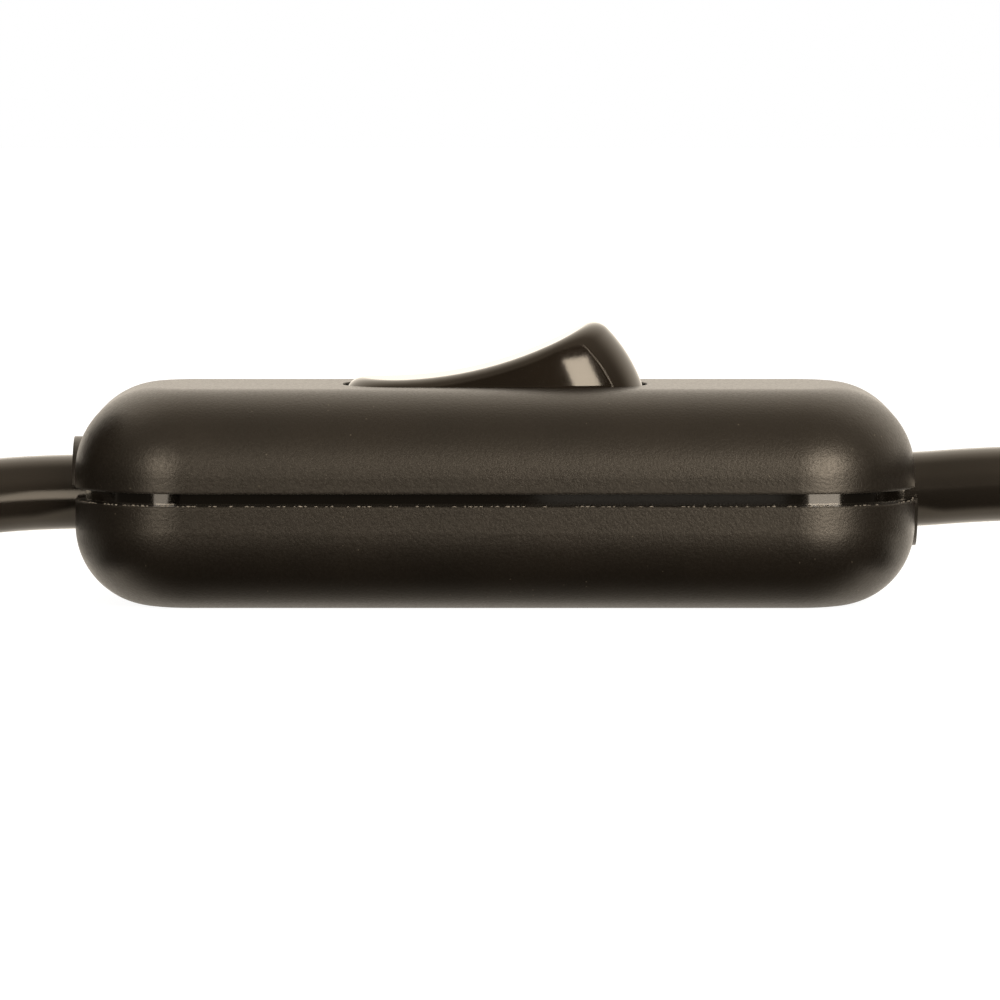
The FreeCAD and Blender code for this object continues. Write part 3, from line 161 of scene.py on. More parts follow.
# %% Supply cord: route
HANK_MIDDLE = 0.010
TABLE_LIFT = 0.00305
TIE_PLACE = -0.127
TIE_LIFT = 0.00055
TURN_RISE = 0.0052
NEAR_FOLD = -0.071
FAR_FOLD = -0.141
NEAR_RUN = (-0.071, -0.085, -0.098, -0.112, -0.126, -0.141)
BACK_RUN = (-0.141, -0.124, -0.106, -0.088, -0.071)
TURN_LANES = (0.021, 0.018, 0.021, 0.018, 0.021)
LAST_LANE = 0.017
FIRST_HUMP = 0.0130
HUMP_RISE = 0.00605
HUMP_LENGTH = 0.041
BACK_CLIMB = 0.62
BACK_CLIMB_FROM = 0.020
BACK_CLIMB_LENGTH = 0.050
FOLD_CLIMB = 1.6
FOLD_CORNERS = 6
FOLD_STEP = math.pi / FOLD_CORNERS
FOLD_SWELL = 1.0 / math.cos(FOLD_STEP / 2) ** 0.85


def ease(share):
    """A share from 0 to 1 with a soft start and a soft end."""
    share = min(1.0, max(0.0, share))
    return share * share * (3.0 - 2.0 * share)


def lane_height(x, turn):
    """How high the cord of one turn lies, a little higher where the tie's band is under it."""
    lift = TIE_LIFT * math.exp(-(((x - TIE_PLACE) / 0.014) ** 2))
    return TABLE_LIFT + lift + TURN_RISE * turn


supply_route = [
    (-0.0249, 0.0, EXIT_HEIGHT),
    (-0.0325, 0.0, EXIT_HEIGHT),
    (-0.0405, 0.0, 0.00850),
    (-0.0490, -0.0012, 0.0073),
    (-0.0590, -0.0049, 0.0049),
    (-0.0675, -0.0084, 0.0035),
    (-0.0760, -0.0105, 0.0031),
    (-0.0850, -0.0112, 0.00305),
]
for turn, lane in enumerate(TURN_LANES):
    hump = FIRST_HUMP + HUMP_RISE * turn
    next_lane = TURN_LANES[turn + 1] if turn + 1 < len(TURN_LANES) else LAST_LANE
    for x in NEAR_RUN if turn else NEAR_RUN[2:]:
        height = lane_height(x, turn)
        if turn:
            hump_before = hump - HUMP_RISE
            height = hump_before + (height - hump_before) * ease((NEAR_FOLD - x) / HUMP_LENGTH)
        supply_route.append((x, HANK_MIDDLE - lane, height))
    for corner in range(1, FOLD_CORNERS):
        angle = corner * FOLD_STEP
        radius = lane * FOLD_SWELL
        y = HANK_MIDDLE - radius * math.cos(angle)
        supply_route.append((FAR_FOLD - radius * math.sin(angle), y, lane_height(FAR_FOLD, turn)))
    for x in BACK_RUN:
        height = lane_height(x, turn)
        climbed = ease((x - FAR_FOLD - BACK_CLIMB_FROM) / BACK_CLIMB_LENGTH)
        height += BACK_CLIMB * (hump - height) * climbed
        supply_route.append((x, HANK_MIDDLE + lane, height))
    low = lane_height(NEAR_FOLD, turn)
    low += BACK_CLIMB * (hump - low)
    for corner in range(1, FOLD_CORNERS):
        share = corner / FOLD_CORNERS
        radius = (lane + (next_lane - lane) * share) * FOLD_SWELL
        x = NEAR_FOLD + radius * math.sin(corner * FOLD_STEP)
        y = HANK_MIDDLE + radius * math.cos(corner * FOLD_STEP)
        supply_route.append((x, y, low + (hump - low) * min(1.0, FOLD_CLIMB * share)))
PLUG_PLACE = (-0.0935, -0.0035, 0.03485)
supply_route += [(-0.0720, -0.0068, 0.0366), (-0.0820, -0.0062, 0.0354), PLUG_PLACE]

supply_cord = lay_cord("supply_cord", supply_route)
print("supply cord", len(supply_route), "points,", round(length_of(supply_cord), 4), "m")

# %% [markdown]
# ## The load cord
#
# The bare-ended side is short, as when a lamp is wired to it. It leaves on the right, rises a
# touch and sinks, runs once round a single loop and comes back over itself, and ends where its
# jacket is cut off and the two cores come out.

# %% Load cord: route
LOAD_NEAR = 0.068
LOAD_FAR = 0.112
LOAD_LANE = 0.018
LOAD_RADIUS = LOAD_LANE * FOLD_SWELL

load_route = [
    (0.0249, 0.0, EXIT_HEIGHT),
    (0.0325, 0.0, EXIT_HEIGHT),
    (0.0385, 0.0, 0.00930),
    (0.0435, -0.0001, 0.00945),
    (0.0500, -0.0009, 0.0082),
    (0.0575, -0.0029, 0.0057),
    (0.0660, -0.0053, 0.0038),
    (0.0760, -0.0073, 0.0031),
    (0.0880, -0.0081, 0.0033),
    (0.1000, -0.0080, 0.0032),
    (0.1120, -0.0080, 0.00305),
]
for corner in range(1, FOLD_CORNERS):
    angle = corner * FOLD_STEP
    y = HANK_MIDDLE - LOAD_RADIUS * math.cos(angle)
    load_route.append((LOAD_FAR + LOAD_RADIUS * math.sin(angle), y, TABLE_LIFT))
for x, z in ((0.112, 0.00305), (0.098, 0.0032), (0.083, 0.0050), (0.068, 0.0082)):
    load_route.append((x, HANK_MIDDLE + LOAD_LANE, z))
for corner, z in enumerate((0.0098, 0.0112, 0.0124, 0.0129, 0.0126), start=1):
    angle = corner * FOLD_STEP
    y = HANK_MIDDLE + LOAD_RADIUS * math.cos(angle)
    load_route.append((LOAD_NEAR - LOAD_RADIUS * math.sin(angle), y, z))
load_route += [
    (0.0680, -0.0076, 0.0116),
    (0.0780, -0.0080, 0.0103),
    (0.0880, -0.0080, 0.0096),
    (0.1000, -0.0080, 0.0096),
    (0.1120, -0.0080, 0.0096),
]

load_cord = lay_cord("load_cord", load_route)
print("load cord", len(load_route), "points,", round(length_of(load_cord), 4), "m")

# %% [markdown]
# ### What the cords stand for
#
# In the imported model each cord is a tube, a block with the outline of the hank and a short end
# of sheath inside the housing. The real thing is one length of flex, so one curve takes the
# place of all three, and it stays with the housing that clamps it.

# %% Cords: what they ride on and stand for
for piece, solids in (
    (supply_cord, ("cord_supply", "hank_supply", "sheath_end_left")),
    (load_cord, ("cord_load", "hank_load", "sheath_end_right")),
):
    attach(piece, "housing")
    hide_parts(*solids)

# %% [markdown]
# ## A short way to write node trees
#
# Every surface below is a small tree of nodes. A few helpers keep them readable: one adds a node
# with its settings, and the others do a sum, a ramp, a blend or a split into axes in one line.

# %% Small helpers for node trees
scene.view_settings.view_transform = "Standard"
scene.view_settings.look = "None"


def new_finish(name):
    """An empty finish: its material, its tree and its Principled BSDF."""
    material = bpy.data.materials.new(name)
    material.use_nodes = True
    return material, material.node_tree, material.node_tree.nodes["Principled BSDF"]


def feed(tree, socket, value):
    """Put a number, a colour or another node's output on a socket."""
    if isinstance(value, bpy.types.NodeSocket):
        tree.links.new(value, socket)
    elif socket.type == "RGBA":
        socket.default_value = (*value, 1.0)
    else:
        socket.default_value = value


def set_values(tree, node, **values):
    """A node's plain settings, and its inputs by name."""
    for key, value in values.items():
        if hasattr(node, key):
            setattr(node, key, value)
        else:
            feed(tree, node.inputs[key.replace("_", " ")], value)
    return node


def add_node(tree, kind, **values):
    """A new node of a kind, with its settings and inputs."""
    return set_values(tree, tree.nodes.new(kind), **values)


def add_ramp(tree, source, low, high):
    """A soft step: each stop is a place from 0 to 1 and the level there."""
    ramp = add_node(tree, "ShaderNodeValToRGB", Fac=source)
    ramp.color_ramp.interpolation = "EASE"
    for element, (place, level) in zip(ramp.color_ramp.elements, (low, high)):
        element.position = place
        element.color = (level, level, level, 1.0)
    return ramp.outputs["Color"]


def add_math(tree, operation, *values, clamp=False):
    """One sum on sockets or numbers."""
    node = add_node(tree, "ShaderNodeMath", operation=operation, use_clamp=clamp)
    for socket, value in zip(node.inputs, values):
        feed(tree, socket, value)
    return node.outputs[0]


# The Mix node's first input and its output, for each kind of value
MIX_PLACES = {"FLOAT": (2, 0), "VECTOR": (4, 1), "RGBA": (6, 2)}


def add_blend(tree, share, low, high, kind="RGBA"):
    """A colour, number or direction between two."""
    first, result = MIX_PLACES[kind]
    node = add_node(tree, "ShaderNodeMix", data_type=kind)
    for place, value in ((0, share), (first, low), (first + 1, high)):
        feed(tree, node.inputs[place], value)
    return node.outputs[result]


def split_axes(tree, source):
    """The X, Y and Z of a direction or a place."""
    return add_node(tree, "ShaderNodeSeparateXYZ", Vector=source).outputs


# %% [markdown]
# ## The table
#
# The photograph is a cut-out on white, so the table is white to the eye. What the switch mirrors of it
# is painted apart: a painted dark patch in front, painted shade for the glossy switch to mirror, and a
# painted glow everywhere else, under the housing too, where no shadow dims it. These give the dark
# band and the pale rim along the housing's lower edge. At its two ends the dark patch lies a little
# further back. The table is also slightly glossy, so that the lamps show in it upside down.

# %% Table
TABLE_REACH = 1.6
TABLE_GLOW = 0.93
# Painted glow: light the table gives to every ray but the camera's, never dimmed by shadow
PAINTED_UNDER_GLOW = (0.62, 0.5704, 0.496)
# Painted shade: the dark patch in front, as every ray but the camera's sees it
PAINTED_SHADE_EDGE = -0.0095
PAINTED_SHADE_SOFT = 0.004
PAINTED_SHADE_BLACK = (0.008, 0.007, 0.006)
PAINTED_SHADE_SHARE = 0.70
BESIDE_FROM = 0.033
BESIDE_SOFT = 0.004
BESIDE_REACH = 0.0065
LEFT_FROM = 0.037
LEFT_SOFT = 0.010
LEFT_DIM = 0.45


def painted_shade_mask(tree):
    """Where the painted dark patch lies, from 0 to 1: painted shade for what mirrors the table."""
    place = split_axes(tree, add_node(tree, "ShaderNodeTexCoord").outputs["Object"])
    aside = add_math(tree, "SUBTRACT", add_math(tree, "ABSOLUTE", place["X"]), BESIDE_FROM)
    aside = add_math(tree, "DIVIDE", aside, BESIDE_SOFT, clamp=True)
    edge = add_math(tree, "MULTIPLY_ADD", aside, BESIDE_REACH, PAINTED_SHADE_EDGE)
    ahead = add_math(tree, "SUBTRACT", edge, place["Y"])
    painted_shade = add_math(tree, "DIVIDE", ahead, PAINTED_SHADE_SOFT, clamp=True)
    left = add_math(tree, "SUBTRACT", add_math(tree, "MULTIPLY", place["X"], -1.0), LEFT_FROM)
    left = add_math(tree, "DIVIDE", left, LEFT_SOFT, clamp=True)
    return add_math(tree, "MAXIMUM", painted_shade, add_math(tree, "MULTIPLY", left, LEFT_DIM))


def add_shader_mix(tree, share, low, high):
    """A blend of two shaders."""
    node = tree.nodes.new("ShaderNodeMixShader")
    for socket, source in zip(node.inputs, (share, low.outputs[0], high.outputs[0])):
        feed(tree, socket, source)
    return node


def make_table():
    """A white table top. What the glossy switch mirrors of it is set apart: painted shade in front, a
    painted glow elsewhere.
    """
    form = bmesh.new()
    bmesh.ops.create_grid(form, x_segments=1, y_segments=1, size=TABLE_REACH)
    mesh = bpy.data.meshes.new("table_top")
    form.to_mesh(mesh)
    form.free()
    material, tree, mirrored = new_finish("table_pale")
    painted_shade = painted_shade_mask(tree)
    set_values(
        tree,
        mirrored,
        Base_Color=add_blend(tree, painted_shade, (0.8, 0.8, 0.8), (0.02, 0.02, 0.02)),
        # painted glow wherever the painted shade is not
        Emission_Color=add_blend(tree, painted_shade, PAINTED_UNDER_GLOW, (0.0, 0.0, 0.0)),
        Emission_Strength=1.0,
        Roughness=0.16,
    )
    painted_dark = add_node(tree, "ShaderNodeBsdfDiffuse", Color=PAINTED_SHADE_BLACK)
    dimmed = add_shader_mix(tree, add_math(tree, "MULTIPLY", painted_shade, PAINTED_SHADE_SHARE), mirrored, painted_dark)
    plain = add_node(
        tree,
        "ShaderNodeBsdfPrincipled",
        Roughness=0.7,
        Base_Color=(0.3, 0.3, 0.3),
        Specular_IOR_Level=0.0,
        Emission_Color=(1.0, 1.0, 1.0),
        Emission_Strength=TABLE_GLOW,
    )
    seen = add_node(tree, "ShaderNodeLightPath").outputs["Is Camera Ray"]
    both = add_shader_mix(tree, seen, dimmed, plain)
    set_values(tree, tree.nodes["Material Output"], Surface=both.outputs[0])
    mesh.materials.append(material)
    table = bpy.data.objects.new("table_top", mesh)
    scene.collection.objects.link(table)
    table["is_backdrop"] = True
    return table


table_top = make_table()
print("table reaches", TABLE_REACH, "m each way")

# %% [markdown]
# ## The room around it
#
# The photograph's light comes from behind: the housing's flat top and the cord's upper side
# mirror a bright wall. The front of the room is dim and warm, and a pale ceiling lights what
# faces up. To the eye all of it is plain white.

# %% Surround
SURROUND_BACK = (1.62, 1.46, 1.25)
SURROUND_FRONT = (0.17, 0.15, 0.125)
SURROUND_ABOVE = (0.52, 0.465, 0.40)
WALL_FROM = 0.43
WALL_FULL = 0.80
CEILING_FROM = 0.2
CEILING_FULL = 0.8

world = bpy.data.worlds.new("studio")
world.use_nodes = True
scene.world = world
tree = world.node_tree
direction = split_axes(tree, add_node(tree, "ShaderNodeTexCoord").outputs["Generated"])
behind = add_math(tree, "MULTIPLY_ADD", direction["Y"], 0.5, 0.5)
wall = add_ramp(tree, behind, (WALL_FROM, 0.0), (WALL_FULL, 1.0))
above = add_ramp(tree, direction["Z"], (CEILING_FROM, 0.0), (CEILING_FULL, 1.0))
sky = add_blend(tree, wall, add_blend(tree, above, SURROUND_FRONT, SURROUND_ABOVE), SURROUND_BACK)
seen = add_node(tree, "ShaderNodeLightPath").outputs["Is Camera Ray"]
sky = add_blend(tree, seen, sky, (1.0, 1.0, 1.0))
set_values(tree, tree.nodes["Background"], Color=sky, Strength=1.0)
print("surround", world.name)

# %% [markdown]
# ## Two soft boxes
#
# Two tall soft boxes stand in front, left and right. They make the pale upright patches at the
# housing's front corners. The right one is wider and brighter, as its patch is.

# %% Soft boxes
BOX_DISTANCE = 0.55
BOX_HIGH = 0.26
BOX_COLOUR = (1.0, 0.93, 0.84)


def soft_box(name, azimuth, wide, glow):
    """A tall soft light in front of the switch, at an angle in degrees to the camera's right."""
    angle = math.radians(azimuth)
    toward = Vector((math.sin(angle), -math.cos(angle), 0.0))
    data = bpy.data.lights.new(name, "AREA")
    data.shape = "RECTANGLE"
    data.size = wide
    data.size_y = BOX_HIGH
    data.energy = 4.0 * glow * wide * BOX_HIGH
    data.color = BOX_COLOUR
    lamp = bpy.data.objects.new(name, data)
    lamp.location = toward * BOX_DISTANCE + Vector((0.0, 0.0, BOX_HIGH / 2))
    lamp.rotation_mode = "QUATERNION"
    lamp.rotation_quaternion = (-toward).to_track_quat("-Z", "Y")
    scene.collection.objects.link(lamp)
    print(name, round(data.energy, 2), "W")


soft_box("left_box", -32.0, 0.20, 6.4)
soft_box("right_box", 30.0, 0.32, 10.0)

# %% [markdown]
# ## Three small cards
#
# A photographer of glossy things places white cards where the subject will mirror them. Here
# one gives the rocker's flat side its sharp bright patch, one lifts the lip between the halves,
# and one draws the pale line along the left cord. Each lights its own piece alone.

# %% Bounce cards
CARD_COLOUR = (1.0, 0.94, 0.86)


def bounce_card(name, piece, corners, glow):
    """A small white card that one glossy piece mirrors, given by its corners in mm."""
    mesh = bpy.data.meshes.new(name)
    places = [Vector(corner) / 1000 for corner in corners]
    mesh.from_pydata(places, [], [tuple(range(len(places)))])
    material, tree, shader = new_finish(name)
    light = add_node(tree, "ShaderNodeEmission", Strength=glow, Color=CARD_COLOUR)
    set_values(tree, tree.nodes["Material Output"], Surface=light.outputs[0])
    mesh.materials.append(material)
    card = bpy.data.objects.new(name, mesh)
    card.visible_camera = False
    card.visible_diffuse = False
    card.visible_shadow = False
    scene.collection.objects.link(card)
    mirrors = bpy.data.collections.new(name + "_mirrors")
    mirrors.objects.link(piece)
    card.light_linking.receiver_collection = mirrors
    card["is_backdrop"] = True
    print(name, "for", piece.name)


ROCKER_CARD = ((7.9, -300, 4.6), (10.8, -300, 5.0), (12.5, -300, 1.2), (9.4, -300, 0.95))
LIP_CARD = ((4.8, -135, 0.3), (3.4, -144, 0.3), (27.5, -144, 0.3), (27.5, -135, 0.3))
CORD_CARD = ((-33.0, -30, 0.5), (-44.0, -30, 0.5), (-60.0, -250, 48), (-46.5, -250, 48))

bounce_card("rocker_card", nodes["rocker"], ROCKER_CARD, 12.0)
bounce_card("lip_card", nodes["lower_shell"], LIP_CARD, 0.6)
bounce_card("cord_card", supply_cord, CORD_CARD, 4.5)

# %% [markdown]
# ## Finishes
#
# Black plastic is never black in a picture: it is a warm dark brown with a soft sheen. The
# shells come from a mould with a fine spark-eroded grain, so they are matt, but seen at a
# grazing angle even a matt surface mirrors the light behind it: that is the bright strip along
# the housing's top. The rocker, the cord and the lip between the halves are polished.

# %% A grain that several plastics share
def start_group(name, inputs, outputs, kind="NodeSocketFloat"):
    """An empty shader group with named sockets, its inlet and its outlet."""
    group = bpy.data.node_groups.new(name, "ShaderNodeTree")
    for label, value in inputs:
        socket = group.interface.new_socket(label, in_out="INPUT", socket_type=kind)
        if value is not None:
            socket.default_value = value
    for label in outputs:
        group.interface.new_socket(label, in_out="OUTPUT", socket_type=kind)
    return group, group.nodes.new("NodeGroupInput"), group.nodes.new("NodeGroupOutput")


SPECK_REACH = 0.14


def make_grain_group():
    """Fine mould grain: a height, a mask of bright specks and slow changes of tone."""
    sizes = (("Grain Size", 0.0002), ("Speck Size", 0.0006), ("Speck Share", 0.05))
    group, inlet, outlet = start_group("mould_grain", sizes, ("Height", "Specks", "Tone"))
    place = add_node(group, "ShaderNodeTexCoord").outputs["Object"]
    per_grain, per_speck = (
        add_math(group, "DIVIDE", 1.0, inlet.outputs[size]) for size in ("Grain Size", "Speck Size")
    )
    fine = add_node(
        group, "ShaderNodeTexNoise", Vector=place, Scale=per_grain, Detail=2.0, Roughness=0.6
    )
    cells = add_node(group, "ShaderNodeTexVoronoi", Vector=place, Scale=per_speck)
    slow = add_node(group, "ShaderNodeTexNoise", Vector=place, Scale=140.0, Detail=3.0)
    pick = add_node(group, "ShaderNodeSeparateColor", Color=cells.outputs["Color"])
    chosen = add_math(group, "LESS_THAN", pick.outputs[0], inlet.outputs["Speck Share"])
    far = add_math(group, "DIVIDE", cells.outputs["Distance"], SPECK_REACH)
    near = add_math(group, "SUBTRACT", 1.0, far, clamp=True)
    specks = add_math(group, "MULTIPLY", chosen, near)
    set_values(group, outlet, Height=fine.outputs[0], Specks=specks, Tone=slow.outputs[0])
    return group


mould_grain = make_grain_group()
print("group", mould_grain.name)

# %% [markdown]
# ### Flat sides for the rocker
#
# The rocker's sides are flat and polished, so they mirror like a pane. Near its edges the solid
# rounds them, and a mirror shows that at once. This group turns each normal that is nearly
# square to the side fully that way, which keeps the side flat up to its edge.

# %% Flat sides
FLAT_FROM = 0.843
FLAT_FULL = 0.845


def make_flat_side_group():
    """Turns normals near +Y or -Y fully that way."""
    sockets = (("Normal", None),)
    group, inlet, outlet = start_group("flat_sides", sockets, ("Normal",), "NodeSocketVector")
    normal = inlet.outputs["Normal"]
    across = split_axes(group, normal)["Y"]
    reach = add_math(group, "ABSOLUTE", across)
    share = add_ramp(group, reach, (FLAT_FROM, 0.0), (FLAT_FULL, 1.0))
    side = add_node(group, "ShaderNodeCombineXYZ", Y=add_math(group, "SIGN", across))
    turned = add_blend(group, share, normal, side.outputs[0], "VECTOR")
    even = add_node(group, "ShaderNodeVectorMath", operation="NORMALIZE", Vector=turned)
    set_values(group, outlet, Normal=even.outputs[0])
    return group


flat_sides = make_flat_side_group()
print("group", flat_sides.name)

# %% [markdown]
# ### Moulded plastic
#
# One recipe serves all the plastics. The colour wanders a little, a few specks catch the light, the
# gloss rises at a grazing angle, and the relief follows the grain. Edges get a hair of rounding in the
# shading. Where the lower shell's tongue begins, the same recipe turns to a polished lip, painted near
# black, darker than the shell's own brown: painted shade in the joint.

# %% Moulded plastic
RELIEF_DEPTH = 0.00002
TONE_SWING = 0.15
PATCH_SWING = 0.12
PATCHY_FROM = 0.2
EDGE_SOFT = 0.0003
PLAIN_LEVEL = 0.5
LIP_LEVEL = 0.95
LIP_ROUGH = 0.09
# Painted shade: the lip is darker than the shell's own brown, for the shade in the joint
LIP_PAINTED_SHADE = (0.002, 0.0015, 0.001)
LIP_SHARP = 100000.0
SHEEN_TINT = (1.0, 0.9, 0.76)


def add_relief(tree, shader, height, strength, depth=RELIEF_DEPTH):
    """A bump from a height, on the shader's normal."""
    relief = add_node(tree, "ShaderNodeBump", Strength=strength, Distance=depth, Height=height)
    set_values(tree, shader, Normal=relief.outputs["Normal"])
    return relief


def add_lip(tree, shader, relief, skin, dull, bump, lip_height):
    """Polish what lies above a height, paint it near black as shade in the joint, and give back its
    roughness.
    """
    place = add_node(tree, "ShaderNodeTexCoord").outputs["Object"]
    over = add_math(tree, "SUBTRACT", split_axes(tree, place)["Z"], lip_height)
    lip = add_math(tree, "MULTIPLY", over, LIP_SHARP, clamp=True)
    left = add_math(tree, "SUBTRACT", bump, add_math(tree, "MULTIPLY", lip, bump))
    set_values(tree, relief, Strength=left)
    set_values(
        tree,
        shader,
        Base_Color=add_blend(tree, lip, skin, LIP_PAINTED_SHADE),
        Specular_IOR_Level=add_blend(tree, lip, PLAIN_LEVEL, LIP_LEVEL, "FLOAT"),
        Coat_Weight=lip,
        Coat_Roughness=0.05,
    )
    return add_blend(tree, lip, dull, LIP_ROUGH, "FLOAT")


def moulded_plastic(
    name, colour, rough, rough_edge, grain, specks, bump, pale=None, lip_height=None, flat_side=False
):
    """A moulded plastic: tone from the grain, its gloss by angle, and a lip where it has one."""
    material, tree, shader = new_finish(name)
    group = add_node(
        tree, "ShaderNodeGroup", node_tree=mould_grain, Grain_Size=grain, Speck_Share=specks
    )
    tone = add_ramp(tree, group.outputs["Tone"], (0.3, 0.0), (0.7, 1.0))
    dark, light = (tuple(c * (1.0 + swing) for c in colour) for swing in (-TONE_SWING, TONE_SWING))
    skin = add_blend(tree, group.outputs["Specks"], add_blend(tree, tone, dark, light), pale or PALE)
    set_values(tree, shader, Base_Color=skin, Specular_Tint=SHEEN_TINT)
    facing = add_node(tree, "ShaderNodeLayerWeight", Blend=0.5).outputs["Facing"]
    grazing = add_math(tree, "POWER", facing, 3.0)
    dull = add_math(tree, "ADD", add_math(tree, "MULTIPLY", grazing, rough_edge - rough), rough)
    if bump > PATCHY_FROM:
        patchy = add_math(tree, "MULTIPLY_ADD", group.outputs["Height"], 2 * PATCH_SWING, -PATCH_SWING)
        dull = add_math(tree, "ADD", dull, patchy)
    relief = add_relief(tree, shader, group.outputs["Height"], bump)
    turned = add_node(tree, "ShaderNodeBevel", samples=4, Radius=EDGE_SOFT).outputs["Normal"]
    if flat_side:
        flattened = add_node(tree, "ShaderNodeGroup", node_tree=flat_sides, Normal=turned)
        turned = flattened.outputs["Normal"]
    set_values(tree, relief, Normal=turned)
    if lip_height:
        dull = add_lip(tree, shader, relief, skin, dull, bump, lip_height)
    set_values(tree, shader, Roughness=dull)
    return material


# %% [markdown]
# ### Metal
#
# Small stamped and turned parts keep the marks of their making: fine streaks from rolling or
# turning, and a slow tarnish that dulls them in patches. One group makes both masks, and each
# metal only says how long its streaks are and which colour it tarnishes to.

# %% Streaks and tarnish for the metals
TARNISH_SHARE = 0.55
TARNISH_DULL = 0.22
TARNISH_STEEP = 2.5
TARNISH_OFFSET = -0.9


def make_streak_group():
    """Masks for worked metal: fine streaks along X and slow patches of tarnish."""
    sizes = (("Streak Size", 0.0001),)
    group, inlet, outlet = start_group("worked_metal", sizes, ("Streaks", "Tarnish"))
    place = add_node(group, "ShaderNodeTexCoord").outputs["Object"]
    along = add_node(group, "ShaderNodeMapping", Vector=place, Scale=(0.08, 1.0, 1.0)).outputs[0]
    per_streak = add_math(group, "DIVIDE", 1.0, inlet.outputs["Streak Size"])
    streaks = add_node(group, "ShaderNodeTexNoise", Vector=along, Scale=per_streak, Detail=2.0)
    patches = add_node(group, "ShaderNodeTexNoise", Vector=place, Scale=420.0, Detail=3.0)
    worn = patches.outputs[0]
    soft = add_math(group, "MULTIPLY_ADD", worn, TARNISH_STEEP, TARNISH_OFFSET, clamp=True)
    set_values(group, outlet, Streaks=streaks.outputs[0], Tarnish=soft)
    return group


worked_metal = make_streak_group()
print("group", worked_metal.name)


def metal_finish(name, colour, tarnish, rough, streak):
    """A worked metal with streaks in its relief and tarnish in its colour and gloss."""
    material, tree, shader = new_finish(name)
    group = add_node(tree, "ShaderNodeGroup", node_tree=worked_metal, Streak_Size=streak)
    share = add_math(tree, "MULTIPLY", group.outputs["Tarnish"], TARNISH_SHARE)
    skin = add_blend(tree, share, colour, tarnish)
    dull = add_math(tree, "MULTIPLY_ADD", group.outputs["Tarnish"], TARNISH_DULL, rough)
    set_values(tree, shader, Metallic=1.0, Base_Color=skin, Roughness=dull)
    add_relief(tree, shader, group.outputs["Streaks"], 0.25)
    return material


# %% [markdown]
# ### Wire jackets and the tie bands
#
# A core's jacket is thin soft plastic with a slight bloom. The tie is a hook and loop band: its
# outside is a dense pile of tiny loops that scatters light, so it has no gloss at all and its
# relief is a felt of short threads over a plain weave.

# %% Jackets and loop pile
def jacket_finish(name, colour, bloom):
    """Soft wire insulation with a pale bloom in places."""
    material, tree, shader = new_finish(name)
    group = add_node(tree, "ShaderNodeGroup", node_tree=mould_grain, Grain_Size=0.0003)
    tone = group.outputs["Tone"]
    share = add_ramp(tree, tone, (0.35, 0.0), (0.8, 0.35))
    skin = add_blend(tree, share, colour, bloom)
    dull = add_math(tree, "MULTIPLY_ADD", tone, 0.2, 0.2)
    set_values(tree, shader, Base_Color=skin, Roughness=dull)
    add_relief(tree, shader, group.outputs["Height"], 0.15)
    return material


def loop_pile(name, colour, tip):
    """The loop side of a hook and loop band."""
    material, tree, shader = new_finish(name)
    place = add_node(tree, "ShaderNodeTexCoord").outputs["Object"]
    loops = add_node(tree, "ShaderNodeTexVoronoi", Vector=place, Scale=2600.0)
    threads = add_node(
        tree, "ShaderNodeTexNoise", Vector=place, Scale=5200.0, Detail=3.0, Distortion=1.4
    )
    rows = add_node(tree, "ShaderNodeTexWave", Vector=place, Scale=190.0, Distortion=2.5, Detail=2.0)
    pile = add_math(tree, "ADD", loops.outputs["Distance"], threads.outputs["Fac"])
    felt = add_math(tree, "MULTIPLY_ADD", rows.outputs["Fac"], 0.5, pile)
    share = add_ramp(tree, threads.outputs["Fac"], (0.4, 0.0), (0.7, 1.0))
    skin = add_blend(tree, share, colour, tip)
    set_values(
        tree, shader, Base_Color=skin, Roughness=0.95, Specular_IOR_Level=0.2, Sheen_Weight=0.35
    )
    add_relief(tree, shader, felt, 0.9, depth=0.00015)
    return material


# %% [markdown]
# ### A finish for every slot
#
# The record names the slots and which solid takes which. The lower shell alone gets the version with a
# polished lip painted dark as shade, because its tongue shows in the joint.

# %% Finishes of the solids
BROWN = (0.0085, 0.0065, 0.0046)
ROCKER_BROWN = (0.0125, 0.0092, 0.0063)
CLAMP_BLACK = (0.03, 0.027, 0.024)
NYLON = (0.74, 0.72, 0.66)
NYLON_PALE = (0.8, 0.79, 0.75)
JET = (0.013, 0.0105, 0.008)
PALE = (0.09, 0.075, 0.055)
LIP_HEIGHT = 0.00849

# Each plastic: colour, roughness, the same at its edges, grain size, share of specks, bump
SHELL = (BROWN, 0.39, 0.34, 0.00022, 0.08, 0.9)
PLASTICS = {
    "shell_plastic": SHELL,
    "rocker_plastic": (ROCKER_BROWN, 0.02, 0.02, 0.0004, 0.0, 0.004),
    "cord_sheath": (JET, 0.14, 0.12, 0.0006, 0.0, 0.08),
    "clamp_plastic": (CLAMP_BLACK, 0.45, 0.3, 0.0003, 0.03, 0.3),
    "plunger_plastic": (NYLON, 0.35, 0.25, 0.0003, 0.02, 0.1, NYLON_PALE),
    "plug_plastic": (JET, 0.42, 0.24, 0.00028, 0.03, 0.45),
    "sleeve_plastic": (JET, 0.22, 0.15, 0.0005, 0.0, 0.1),
}
